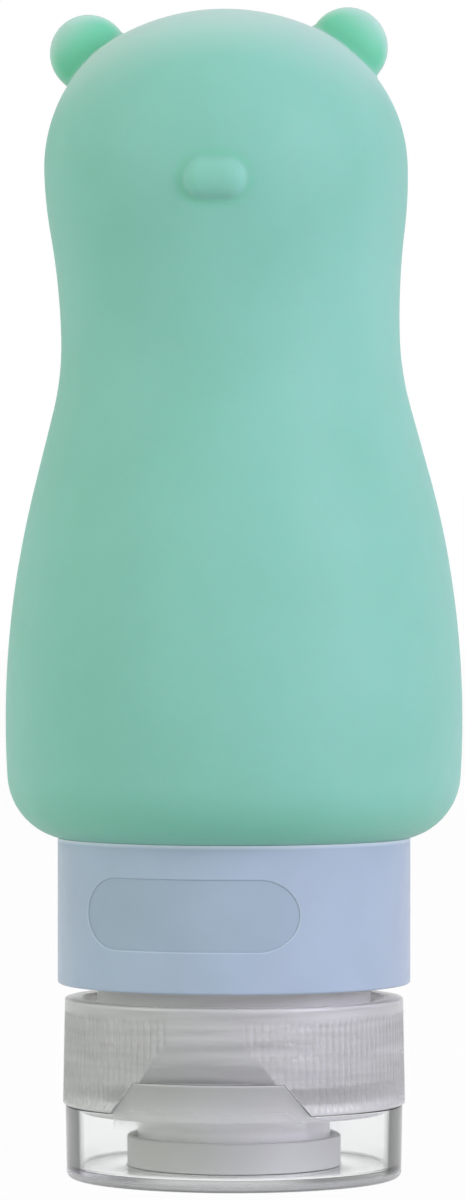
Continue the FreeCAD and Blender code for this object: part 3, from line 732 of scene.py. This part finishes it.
# a plug the shape of the window, flared where it breaks the collar's outer face
def windowPlug():
    facing = math.radians(collar["turned"] - 90)
    half, end = collar["windowLength"] / 2, collar["windowHeight"] / 2
    share = np.sin(np.linspace(-math.pi / 2, math.pi / 2, collar["windowSteps"]))
    radius, edge = collar["radius"], collar["windowEdge"]
    bends = np.radians(np.linspace(0, collar["flareEnd"], collar["flareSteps"]))
    flared = [(radius - edge * (1 - math.sin(bend)), edge * (1 - math.cos(bend))) for bend in bends]
    loops = [(radius - collar["plugInside"], 0)] + flared + [(radius + collar["plugOutside"], edge)]
    points = []
    for reach, flare in loops:
        across = share * (half + flare)
        beyond = np.maximum(np.abs(across) - (half - end), 0)
        rise = np.sqrt(np.maximum((end + flare) ** 2 - beyond**2, 0))
        angle = facing + np.arcsin(across / radius)
        for side in (1, -1):
            up = windowLevel + side * rise
            points.append(np.stack([reach * np.cos(angle), reach * np.sin(angle), up], axis=-1))
    count, faces = len(share), []
    strips = [(i, i + 2) for i in range(len(points) - 2)] + [(0, 1), (len(points) - 2, len(points) - 1)]
    for first, second in strips:
        for i in range(count - 1):
            a, b = first * count + i, second * count + i
            faces.append((a, a + 1, b + 1, b))
    return newObject("windowPlug", meshFrom("windowPlug", points, faces))


def turningCollar():
    outer, bore, hook = collar["radius"], collar["radius"] - collar["wall"], collar["hookBore"]
    hookFoot, hookTop = collarFoot + collar["hookFoot"], collarFoot + collar["hookTop"]
    bandFoot, bandTop = labelBand()
    groove, inner = outer - collar["windowWall"], collar["innerEdge"]
    section = rounded([
        (bore, collarFoot, inner),
        (outer, collarFoot, collar["edge"]),
        (outer, collarTop - collar["lipDepth"], 0),
        (outer, collarTop + collar["topLip"], collar["topEdge"]),
        (bore, collarTop, inner),
        (bore, bandTop, 0),
        (groove, bandTop, 0),
        (groove, bandFoot, 0),
        (bore, bandFoot, 0),
        (bore, hookTop, 0),
        (hook, hookTop, inner),
        (hook, hookFoot, inner),
        (bore, hookFoot, 0),
    ])
    thing = newObject("collar_ring", lathe("collarRing", section, collar["segments"]), collarPlastic)
    carve(thing, windowPlug())
    across, back, up = verticesOf(thing.data).T
    inWindow = (np.hypot(across, back) < outer - hair) & (np.abs(up - windowLevel) < collar["windowReach"])
    onLip = up > collarTop - near
    # painted light in the window and along the top lip, where shade would fall
    setValue(thing.data, "creviceLight", collar["windowLightPaint"] * inWindow + collar["lipLightPaint"] * onLip)
    standFor(thing, "collar", "collar")


turningCollar()

# blank label ring behind the window, with a raised band just inside the collar's wall
labelRing = dict(bore=15.95, radius=17.45, gap=0.006, endGap=0.1, edge=0.15, segments=200)


def indicatorRing():
    foot, top = levels("indicator_ring")
    inner, outer, edge = labelRing["bore"], labelRing["radius"], labelRing["edge"]
    bandFoot, bandTop = labelBand()
    bandFoot, bandTop = bandFoot + labelRing["endGap"], bandTop - labelRing["endGap"]
    band = collar["radius"] - collar["windowWall"] - labelRing["gap"]
    section = rounded([
        (inner, foot, edge),
        (outer, foot, edge),
        (outer, bandFoot, 0),
        (band, bandFoot, edge),
        (band, bandTop, edge),
        (outer, bandTop, 0),
        (outer, top, edge),
        (inner, top, edge),
    ])
    thing = newObject("label_ring", lathe("labelRing", section, labelRing["segments"]), indicatorPlastic)
    standFor(thing, "indicator_ring", "bottle")


indicatorRing()

# mouth insert: neck with a screw thread, flange and plug
neck = dict(
    radius=14.35,
    bore=12.3,
    flangeRadius=17.45,
    flangeFoot=9.25,  # above the mouth
    flangeTop=10.65,
    flangeFillet=0.2,
    edge=0.25,
    plugRound=0.5,
    land=1.0,  # plain wall at the mouth and at the plug's end
    threadFoot=1.5,
    threadTop=7.2,
    threadPitch=3.0,
    threadHeight=0.95,
    threadSpacing=0.2,
    rowGap=0.1,
    segments=180,
)


def threadedNeck():
    mouth, top = levels("threaded_neck")
    outer, bore, edge, land = neck["radius"], neck["bore"], neck["edge"], neck["land"]
    flangeFoot, flangeTop = mouth + neck["flangeFoot"], mouth + neck["flangeTop"]
    threadFoot, threadTop = mouth + neck["threadFoot"], mouth + neck["threadTop"]
    lower = rounded([
        (bore, top - land, 0),
        (bore, mouth, edge),
        (outer, mouth, edge),
        (outer, mouth + land, 0),
    ], closed=False)
    wall = [(outer, up) for up in rowsBetween(threadFoot, threadTop, neck["threadSpacing"])]
    upper = rounded([
        (outer, threadTop + neck["rowGap"], 0),
        (outer, flangeFoot, neck["flangeFillet"]),
        (neck["flangeRadius"], flangeFoot, edge),
        (neck["flangeRadius"], flangeTop, edge),
        (outer, flangeTop, 0),
        (outer, top, neck["plugRound"]),
        (bore, top, edge),
        (bore, top - land + neck["rowGap"], 0),
    ], closed=False)
    mesh = lathe("neckInsert", lower + wall + upper, neck["segments"])
    across, back, up = verticesOf(mesh).T
    onThread = (np.hypot(across, back) > outer - near) & (up < threadTop + near)
    setValue(mesh, "screwThreadWeight", onThread)
    thing = newObject("threaded_neck_insert", mesh, neckPlastic)
    shapeWall(
        thing, threadTree, neckPlastic, Pitch=neck["threadPitch"] * mm, Height=neck["threadHeight"] * mm,
        Foot=threadFoot * mm, Top=threadTop * mm, Start=0.0,
    )
    standFor(thing, "threaded_neck", "bottle")


threadedNeck()

# sealing washer under the cap's deck
washer = dict(bore=12.3, radius=14.9, edge=0.2, segments=120)


def capGasket():
    foot, top = levels("cap_gasket")
    section = plainSection(washer["bore"], washer["radius"], foot, top, washer["edge"])
    thing = newObject("sealing_washer", lathe("sealingWasher", section, washer["segments"]), sealRubber)
    standFor(thing, "cap_gasket", "gasket")


capGasket()

# screw cap: ribbed skirt, thumb scoop, deck, spout and snap rim
cap = dict(
    turned=-6.0,
    seam=7.75,
    radius=17.95,
    draft=0.2,
    edge=0.18,
    edgeRows=4,
    rowSpacing=0.3,
    edgeMargin=0.4,  # plain rows start this far from seam and rim, and these below and above the ledge
    underLedge=0.3,
    overLedge=0.35,
    ledgeRows=(-0.12, -0.01, 0.01, 0.12),
    ribs=140,
    ribDepth=0.2,
    ribMargin=0.6,
    ribRunOut=0.15,
    ribFade=0.04,
    rimBand=1.5,  # plain band above the ribs
    segmentsPerRib=6,
    skinPerInside=5,  # places round the skirt for each one inside
    scoopFlat=0.62,
    scoopStart=3.85,
    scoopDepth=1.6,
    scoopBlend=0.06,
    tabHalfWidth=7.9,
    tabRootHalfWidth=10.4,
    tabRise=3.3,
    tabReach=17.7,
    gap=0.06,
    sideGap=0.05,
    pocketRadius=16.12,
    ledgeReach=0.22,
    pocketSide=0.0008,  # half the angle, in radians, across each of the pocket's side walls
    pull=0.22,  # radians over which the columns of points beside it are drawn aside
    pullCore=1.15,
    sideColumns=0.75,
    strapHalfWidth=4.5,
    landReach=18.0,
    landHeight=1.9,
    landBlend=0.1,
    landStep=0.005,
    threadBore=15.8,
    threadSpacing=0.22,
    boreChamfer=0.2,
    chamferRise=0.25,
    seatRadius=15.05,
    seatRows=(0.2, 0.1),  # rows of the bore above its seat
    seatTop=4.9,  # this and the deck's levels are above the seam
    deckTop=2.6,
    deckUnder=1.0,
    spoutBore=8.9,
    spoutRadius=10.1,
    spoutTaper=0.7,
    spoutTaperLength=2.6,
    shoulderRound=0.8,
    lip=0.9,
    orifice=6.0,
    fillet=0.3,
    snapRadius=16.1,
    snapWall=1.1,
    snapDrop=0.8,
    snapRound=0.25,
    innerEdge=0.2,
    seatEdge=0.1,
    boreEdge=0.15,
    threadPitch=3.0,
    threadHeight=0.85,
    scoopShade=0.8,  # the thumb scoop darkens towards its ledge
    rimGlint=(0.45, 0.2),  # light caught at the rim, inside it, beside the tab and along the seam
    insideGlint=(1.6, 0.4),
    tabGlint=0.1,
    seamGlint=(0.2, 3.2),
)
capFront = math.radians(cap["turned"] - 90)
capTip, capRim = levels("cap_base")
capLedge = cap["seam"] + cap["tabRise"] + cap["gap"]
scoopTop = capRim - cap["scoopStart"]
leastFacing = 0.3  # a flat face is met only where the cosine of the turn from its front is above this
farAway = 1e3


def atFront(angle):
    return np.cos(angle - capFront) > 0


# reach of a flat face that stands square to the front, or the back, at each angle
def flatReach(distance, angle, facing):
    away = np.cos(angle - facing)
    return np.where(away > leastFacing, distance / np.maximum(away, leastFacing), farAway)


# radius with the flat land that carries the hinge strap at the back
def landed(radius, angle, covered):
    aside = np.abs(radius * np.sin(angle - capFront))
    half, blend = cap["strapHalfWidth"], cap["landBlend"]
    share = covered * ~atFront(angle) * (1 - smoothStep(aside, half - blend, half + blend))
    land = flatReach(cap["landReach"], angle, capFront + math.pi)
    return radius + share * (np.maximum(land, radius) - radius)


# half the width of the pocket that the lid's tab lies in, narrower towards its ledge
def pocketHalf(up):
    flare = (cap["tabRootHalfWidth"] - cap["tabHalfWidth"]) / cap["tabRise"]
    return cap["tabHalfWidth"] + cap["sideGap"] + flare * np.maximum(cap["seam"] + cap["tabRise"] - up, 0)


# how far each place lies beyond the side of that pocket
def besidePocket(up, angle):
    return cap["tabReach"] * np.abs(np.sin(angle - capFront)) - pocketHalf(up)


# places round the skirt, drawn aside so that two columns of points follow each slanted side of the pocket
def columnsAlongTab(up, angle):
    step = 2 * math.pi / angle.shape[1]
    turned = (angle - capFront + math.pi) % (2 * math.pi) - math.pi
    sideways = np.abs(turned)
    boundary = (math.floor(math.asin(pocketHalf(farAway) / cap["tabReach"]) / step) + 0.5) * step
    wanted = np.arcsin(pocketHalf(up) / cap["tabReach"])
    away = np.abs(sideways - boundary)
    pulled = sideways + (wanted - boundary) * np.clip(cap["pullCore"] - away / cap["pull"], 0, 1)
    beside = wanted + np.sign(sideways - boundary) * cap["pocketSide"]
    moved = np.where(away < cap["sideColumns"] * step, beside, pulled)
    return capFront + np.sign(turned) * moved


def skirtRadius(up):
    return cap["radius"] - cap["draft"] * (up - cap["seam"]) / (capRim - cap["seam"])


# radius of the skirt at each place, and how much of the ribs it carries there
def capSkirt(up, angle):
    seam, edge = cap["seam"], cap["edge"]
    outer = skirtRadius(up) + 0 * angle
    depth = np.interp(up, [capLedge, scoopTop], [cap["scoopDepth"], cap["scoopFlat"]])
    scoop = flatReach(cap["radius"] - depth, angle, capFront)
    radius = np.where(up > capLedge, smoothMin(outer, scoop, cap["scoopBlend"]), outer)
    pocket = (besidePocket(up, angle) < 0) & atFront(angle) & (up <= capLedge)
    radius = np.where(pocket, cap["pocketRadius"], radius)
    landTop, blend = seam + cap["landHeight"], cap["landBlend"]
    withLand = landed(radius, angle, 1 - smoothStep(up, landTop - blend, landTop + blend))
    plain = np.maximum(smoothStep(outer - radius, 0, cap["ribFade"]), withLand > radius + cap["landStep"])
    fromEdge = np.minimum(np.minimum(up - seam, capRim - up), edge)
    shrink = edge - np.sqrt(edge**2 - (edge - fromEdge) ** 2)
    ribFoot, ribTop, runOut = seam + cap["ribMargin"], capRim - cap["rimBand"], cap["ribRunOut"]
    belowTop = 1 - smoothStep(up, ribTop - runOut, ribTop + runOut)
    ribbed = smoothStep(up, ribFoot - runOut, ribFoot + runOut) * belowTop * (1 - plain)
    return np.maximum(withLand - shrink, cap["pocketRadius"] - cap["ledgeReach"] * (up > capLedge)), ribbed


# the cap's inner outline from the rim round to the seam, and how many of its rows carry the thread
def capInside():
    seam, seat, bore = cap["seam"], cap["seam"] + cap["seatTop"], cap["threadBore"]
    deckTop, deckUnder = seam + cap["deckTop"], seam + cap["deckUnder"]
    snapInner, snapFoot = cap["snapRadius"] - cap["snapWall"], seam - cap["snapDrop"]
    lipTop = capTip + cap["lip"]
    lastRow, seatRow = (seat + rise for rise in cap["seatRows"])
    threadRows = rowsBetween(capRim - cap["chamferRise"], lastRow, cap["threadSpacing"])
    upper = [(bore + cap["boreChamfer"], capRim)] + [(bore, up) for up in threadRows]
    rest = rounded([
        (bore, seatRow, 0),
        (bore, seat, 0),
        (cap["seatRadius"], seat, cap["seatEdge"]),
        (cap["seatRadius"], deckTop, cap["boreEdge"]),
        (cap["spoutBore"], deckTop, cap["fillet"]),
        (cap["spoutBore"], lipTop, cap["boreEdge"]),
        (cap["orifice"], lipTop, cap["boreEdge"]),
        (cap["orifice"], capTip, cap["innerEdge"]),
        (cap["spoutRadius"] - cap["spoutTaper"], capTip, cap["fillet"]),
        (cap["spoutRadius"], capTip + cap["spoutTaperLength"], cap["shoulderRound"]),
        (cap["spoutRadius"], deckUnder, cap["fillet"]),
        (snapInner, deckUnder, cap["innerEdge"]),
        (snapInner, snapFoot, cap["innerEdge"]),
        (cap["snapRadius"], snapFoot, cap["snapRound"]),
        (cap["snapRadius"], seam, 0),
    ], closed=False)
    return upper + rest, len(upper)


# shares of light caught by the skirt's edges
def skirtGlint(up, angle):
    fromPocket = besidePocket(up, angle)
    atRim = smoothStep(up, *(capRim - drop for drop in cap["rimGlint"]))
    atTab = (np.abs(fromPocket) < cap["tabGlint"]) & (up < capLedge) & atFront(angle)
    nearSeam = 1 - smoothStep(up, *(cap["seam"] + rise for rise in cap["seamGlint"]))
    atSeam = nearSeam * ((fromPocket > 0) | ~atFront(angle))
    return np.maximum(np.maximum(atRim, atTab), atSeam)


def screwCap():
    seam, spacing = cap["seam"], cap["rowSpacing"]
    around, perInside = cap["ribs"] * cap["segmentsPerRib"], cap["skinPerInside"]
    edgeRows = cap["edge"] * (1 - np.cos(np.linspace(0, math.pi / 2, cap["edgeRows"])))
    up = np.concatenate([
        seam + edgeRows,
        rowsBetween(seam + cap["edgeMargin"], capLedge - cap["underLedge"], spacing),
        capLedge + np.array(cap["ledgeRows"]),
        rowsBetween(capLedge + cap["overLedge"], capRim - cap["edgeMargin"], spacing),
        capRim - edgeRows[::-1],
    ])[:, None]
    angle = columnsAlongTab(up, aroundAxis(around)[None, :])
    radius, ribbed = capSkirt(up, angle)
    skin = ringPoints(radius, up + 0 * radius, angle)
    faces = ringFaces(len(skin), around, False)
    outline, threadRows = capInside()
    inner = around // perInside
    inside = lathePoints(outline, inner)
    first = skin.shape[0] * around
    faces += ringFaces(len(inside), inner, False, first)
    topRow, lastRing = first - around, first + (len(inside) - 1) * inner
    for outerRow, innerRow in ((topRow, first), (0, lastRing)):
        for place in range(inner):
            steps = [outerRow + (place * perInside + k) % around for k in range(perInside + 1)]
            faces.append(steps + [innerRow + (place + 1) % inner, innerRow + place])
    points = np.concatenate([skin.reshape(-1, 3), inside.reshape(-1, 3)])
    mesh = meshFrom("screwCap", points, faces, merge=False)
    onScoop = (radius < skirtRadius(up) - near) & (up > capLedge) & atFront(angle)
    inScoop = onScoop * np.clip((scoopTop - up) / (scoopTop - capLedge), 0, 1) ** 2
    insideRim = smoothStep(np.array(outline)[:, 1], *(capRim - drop for drop in cap["insideGlint"]))
    onThread = np.arange(len(inside)) < threadRows
    noneInside = np.zeros(len(inside) * inner)
    setValue(mesh, "scoopShade", np.append(cap["scoopShade"] * inScoop, noneInside))
    setValue(mesh, "rimLight", np.append(skirtGlint(up, angle), np.repeat(insideRim, inner)))
    setValue(mesh, "gripRibsWeight", np.append(ribbed, noneInside))
    setValue(mesh, "screwThreadWeight", np.append(np.zeros(first), np.repeat(onThread, inner)))
    thing = newObject("screw_cap", mesh, capPlastic)
    shapeWall(thing, ribTree, capPlastic, Ribs=float(cap["ribs"]), Depth=cap["ribDepth"] * mm)
    shapeWall(
        thing, threadTree, capPlastic, Pitch=cap["threadPitch"] * mm, Height=-cap["threadHeight"] * mm,
        Foot=(seam + cap["seatTop"]) * mm, Top=capRim * mm, Start=0.5,
    )
    thing.visible_shadow = False  # light passes through it to what is inside
    standFor(thing, "cap_base", "cap")


screwCap()

# slit valve in the spout and the ring that snaps over it
slitValve = dict(
    radius=8.85,
    flange=0.9,
    skin=0.6,
    dish=0.9,
    discRadius=4.9,
    discRound=0.4,
    slope=6.0,
    slopeRound=0.2,
    edge=0.15,
    slitLength=7.0,
    slitWidth=0.16,
    knifeMargin=1.0,
    segments=96,
)


# four thin arms, turned with the cap, that cut the slits
def slitKnife(foot, top):
    long, wide = slitValve["slitLength"] / 2, slitValve["slitWidth"] / 2
    cross = []
    for quarter in range(4):
        turn = math.radians(cap["turned"] + 90 * quarter)
        for x, y in ((long, -wide), (long, wide), (wide, wide)):
            cross.append((x * math.cos(turn) - y * math.sin(turn), x * math.sin(turn) + y * math.cos(turn)))
    count = len(cross)
    points = [(x, y, up) for up in (foot, top) for x, y in cross]
    faces = [tuple(range(count)), tuple(range(2 * count - 1, count - 1, -1))]
    faces += [(i, (i + 1) % count, count + (i + 1) % count, count + i) for i in range(count)]
    return newObject("slitKnife", meshFrom("slitKnife", points, faces))


def valve():
    seat = levels("valve")[0]
    rim, disc, slope = slitValve["radius"], slitValve["discRadius"], slitValve["slope"]
    flange, skin, dish = slitValve["flange"], slitValve["skin"], slitValve["dish"]
    section = rounded([
        (0, seat + dish, 0),
        (disc, seat, slitValve["discRound"]),
        (rim, seat, slitValve["edge"]),
        (rim, seat + flange, slitValve["edge"]),
        (slope, seat + flange, slitValve["slopeRound"]),
        (disc, seat + skin, slitValve["discRound"]),
        (0, seat + dish + skin, 0),
    ], closed=False)
    mesh = lathe("slitValve", section, slitValve["segments"], closed=False)
    thing = newObject("slit_valve", mesh, sealRubber)
    margin = slitValve["knifeMargin"]
    carve(thing, slitKnife(seat - margin, seat + dish + skin + margin))
    standFor(thing, "valve", "cap")


valve()

snapRing = dict(radius=8.85, wall=2.2, edge=0.2, segments=120)


def valveRetainer():
    foot, top = levels("valve_retainer")
    outer = snapRing["radius"]
    section = plainSection(outer - snapRing["wall"], outer, foot, top, snapRing["edge"])
    thing = newObject("valve_snap_ring", lathe("valveSnapRing", section, snapRing["segments"]), neckPlastic)
    standFor(thing, "valve_retainer", "cap")


valveRetainer()

# clear flip lid with its thumb tab and the ring that closes round the spout
lid = dict(
    seamGap=0.05,
    radius=17.7,
    footRadius=17.55,
    wall=1.35,
    floor=1.2,
    floorRound=0.35,
    corner=0.7,
    cornerBand=1.0,  # rows this far in and up from the corner
    cornerEtch=0.6,
    cornerReach=0.9,
    wallClear=1.0,
    landDepth=0.3,
    edge=0.15,
    landRow=0.15,
    ringRadius=11.2,
    ringWall=0.75,
    ringRise=3.3,
    ringEdge=0.2,
    liftFrom=6.4,  # the wall's rows above this rise into the tab
    highlightDepth=0.15,
    segments=480,
)


def flipLid():
    rim = cap["seam"] - lid["seamGap"]
    outer, foot, wall, floorTop = lid["radius"], lid["footRadius"], lid["wall"], lid["floor"]
    ringOuter, ringInner = lid["ringRadius"], lid["ringRadius"] - lid["ringWall"]
    ringTop, ringEdge, edge = floorTop + lid["ringRise"], lid["ringEdge"], lid["edge"]
    landFoot, landRow = cap["seam"] - cap["landHeight"], lid["landRow"]
    liftFrom, band = lid["liftFrom"], lid["cornerBand"]
    slope = (outer - foot) / rim
    outline = rounded([
        (0, 0, 0),
        (foot - band, 0, 0),
        (foot, 0, lid["corner"]),
        (foot + slope * band, band, 0),
        (foot + slope * (landFoot - landRow), landFoot - landRow, 0),
        (foot + slope * (landFoot + landRow), landFoot + landRow, 0),
        (outer, rim, edge),
        (outer - wall, rim, edge),
        (outer - wall - slope * (rim - liftFrom), liftFrom, 0),
        (foot - wall, floorTop, lid["floorRound"]),
        (ringOuter, floorTop, ringEdge),
        (ringOuter, ringTop, ringEdge),
        (ringInner, ringTop, ringEdge),
        (ringInner, floorTop, ringEdge),
        (0, floorTop, 0),
    ], closed=False)
    angle = aroundAxis(lid["segments"])[None, :]
    across, up = (np.array(outline)[:, i, None] + 0 * angle for i in (0, 1))
    aside = np.abs(outer * np.sin(angle - capFront))
    share = (cap["tabRootHalfWidth"] - aside) / (cap["tabRootHalfWidth"] - cap["tabHalfWidth"])
    tab = np.clip(share, 0, 1) * atFront(angle) * (cap["tabRise"] + lid["seamGap"])
    onWall = across > ringOuter + lid["wallClear"]
    lifted = up + tab * np.clip((up - liftFrom) / (rim - liftFrom), 0, 1) * onWall
    blend = cap["landBlend"]
    onLand = onWall & (across > foot - lid["landDepth"])
    covered = smoothStep(up, landFoot - blend, landFoot + blend) * onLand
    points = ringPoints(landed(across, angle, covered), lifted)
    mesh = meshFrom("flipLid", points, ringFaces(len(points), lid["segments"], False))
    x, y, rise = verticesOf(mesh).T
    reach = np.hypot(x, y)
    onRing = (reach < ringOuter + near) & (reach > ringInner - near) & (rise > floorTop - near)
    onTab = (rise > rim + clear) & (reach > ringOuter)
    onCorner = (reach > foot - lid["cornerReach"]) & (rise < lid["corner"] + hair)
    setValue(mesh, "etched", np.maximum(onRing | onTab, lid["cornerEtch"] * onCorner))
    # painted highlight along the tab's top edge
    setValue(mesh, "tabTopHighlight", rise > rim + cap["tabRise"] - lid["highlightDepth"])
    # the side wall, where the painted shade of the turned-away wall falls
    setValue(mesh, "sideWall", (reach > foot - clear) & (rise > lid["corner"] + clear))
    thing = newObject("clear_flip_lid", mesh, lidPlastic)
    thing.visible_shadow = False  # light passes through it to what is inside
    standFor(thing, "flip_lid", "lid")


flipLid()

# living hinge: a thin strap bent round from the cap's land to the lid's
strap = dict(inner=0.3, thickness=0.5, edge=0.12, steps=24)


def livingHinge():
    middle, seam, half = cap["landReach"], cap["seam"], cap["strapHalfWidth"]
    inner, outer = strap["inner"], strap["inner"] + strap["thickness"]
    section = plainSection(-half, half, inner, outer, strap["edge"])
    turned = math.radians(cap["turned"])
    points = []
    for bend in np.radians(np.linspace(90, -90, strap["steps"] + 1)):
        for across, reach in section:
            back, up = middle + reach * math.cos(bend), seam + reach * math.sin(bend)
            x = across * math.cos(turned) - back * math.sin(turned)
            points.append((x, across * math.sin(turned) + back * math.cos(turned), up))
    count = len(section)
    faces = ringFaces(strap["steps"] + 1, count, False)
    faces += [tuple(range(count)), tuple(range(len(points) - 1, len(points) - 1 - count, -1))]
    thing = newObject("living_hinge_strap", meshFrom("livingHinge", points, faces), lidPlastic)
    smoothShade(thing)
    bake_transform(thing)
    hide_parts("living_hinge")
    print("piece:", thing.name, len(thing.data.polygons), "faces between cap and lid")


livingHinge()

# studio: pale floor, white backdrop, soft lamps, camera as in the photograph
studio = dict(
    cameraDistance=640.0,
    cameraTurn=3.6,
    eyeLevel=67.0,
    aimLevel=60.5,
    aimAside=-0.16,
    lens=183.0,
    ambientSide=0.7,
    ambientTop=0.94,
    ambientBack=0.6,
    ambientFront=1.0,
    wallFrom=0.9,  # cosines of the way to the edge of the white wall, and to where it is full
    wallFull=0.985,
    floorHalf=3000.0,
    floorGap=0.05,
    floorGlow=0.95,
    lamps={
        "key lamp, right": dict(place=(1030, -660, 500), width=600, watts=10.9, hexColour="#EFE8FE"),
        "fill lamp, left": dict(place=(-1050, -500, 500), width=700, watts=4.9, hexColour="#F4FAEA"),
        "top lamp, behind": dict(place=(-200, 600, 1100), width=800, watts=1.5, hexColour="#FFFFFF"),
    },
)
white = (1, 1, 1, 1)


# white to the camera; gloss and clear plastic see a white wall in front and behind, and dimmer sides
def backdrop():
    world = bpy.data.worlds.new("white studio")
    scene.world = world
    world.use_nodes = True
    tree = world.node_tree
    tree.nodes.clear()
    path = addNode(tree, "ShaderNodeLightPath").outputs
    toward = addNode(tree, "ShaderNodeTexCoord").outputs["Generated"]
    way = addNode(tree, "ShaderNodeSeparateXYZ", {0: toward}).outputs
    facing = addNode(tree, "ShaderNodeMath", {0: way["Y"]}, operation="ABSOLUTE")
    inputs = {"Value": facing, "From Min": studio["wallFrom"], "From Max": studio["wallFull"]}
    wall = addNode(tree, "ShaderNodeMapRange", inputs, interpolation_type="SMOOTHSTEP")
    inputs = {0: path["Is Glossy Ray"], 1: path["Is Transmission Ray"]}
    bent = addNode(tree, "ShaderNodeMath", inputs, operation="MAXIMUM")
    inWall = addNode(tree, "ShaderNodeMath", {0: wall, 1: bent}, operation="MULTIPLY")
    seen = addNode(tree, "ShaderNodeMath", {0: path["Is Camera Ray"], 1: inWall}, operation="MAXIMUM")
    inputs = {"Value": way["Z"], "To Min": studio["ambientSide"], "To Max": studio["ambientTop"]}
    above = addNode(tree, "ShaderNodeMapRange", inputs)
    inputs = {"Value": way["Y"], "From Min": 1.0, "From Max": -1.0}
    inputs.update({"To Min": studio["ambientBack"], "To Max": studio["ambientFront"]})
    front = addNode(tree, "ShaderNodeMapRange", inputs)
    plain = addNode(tree, "ShaderNodeMath", {0: above, 1: front}, operation="MULTIPLY")
    strength = addNode(tree, "ShaderNodeMapRange", {"Value": seen, "To Min": plain})
    light = addNode(tree, "ShaderNodeBackground", {"Color": white, "Strength": strength})
    addNode(tree, "ShaderNodeOutputWorld", {"Surface": light})


# matt paint that takes the shadow, and looks nearly white
def studioFloor():
    material, tree = newMaterial("pale studio floor")
    path = addNode(tree, "ShaderNodeLightPath").outputs
    inputs = {0: path["Is Glossy Ray"], 1: path["Is Transmission Ray"]}
    bent = addNode(tree, "ShaderNodeMath", inputs, operation="MAXIMUM")
    seen = addNode(tree, "ShaderNodeMath", {0: path["Is Camera Ray"], 1: bent}, operation="MAXIMUM")
    share = addNode(tree, "ShaderNodeMapRange", {"Value": seen, "To Max": studio["floorGlow"]})
    paint = addNode(tree, "ShaderNodeBsdfDiffuse", {"Color": linear("#DADADA")})
    glow = addNode(tree, "ShaderNodeEmission", {"Color": white, "Strength": 1.0})
    both = addNode(tree, "ShaderNodeMixShader", {0: share, 1: paint, 2: glow})
    addNode(tree, "ShaderNodeOutputMaterial", {"Surface": both})
    half, level = studio["floorHalf"] * mm, -studio["floorGap"] * mm
    corners = [(x * half, y * half, level) for x, y in ((-1, -1), (1, -1), (1, 1), (-1, 1))]
    mesh = bpy.data.meshes.new("studioFloor")
    mesh.from_pydata(corners, [], [(0, 1, 2, 3)])
    newObject("studio_floor", mesh, material)


def aim(thing, target):
    thing.rotation_euler = (Vector(target) - thing.location).to_track_quat("-Z", "Y").to_euler()


def lamp(name, place, width, watts, hexColour):
    light = bpy.data.lights.new(name, "AREA")
    light.shape = "SQUARE"
    light.size = width * mm
    light.energy = watts
    light.color = linear(hexColour)[:3]
    thing = newObject(name, light)
    thing.location = Vector(place) * mm
    aim(thing, (0, 0, studio["aimLevel"] * mm))


def camera():
    data = bpy.data.cameras.new("camera")
    data.lens = studio["lens"]
    thing = newObject("camera", data)
    turn, away = math.radians(studio["cameraTurn"]), studio["cameraDistance"] * mm
    aside = studio["aimAside"] * mm
    thing.location = (aside + away * math.sin(turn), -away * math.cos(turn), studio["eyeLevel"] * mm)
    aim(thing, (aside, 0, studio["aimLevel"] * mm))
    scene.camera = thing


backdrop()
studioFloor()
for name, sizes in studio["lamps"].items():
    lamp(name, **sizes)
camera()
scene.view_settings.view_transform = "Standard"
print("studio ready")
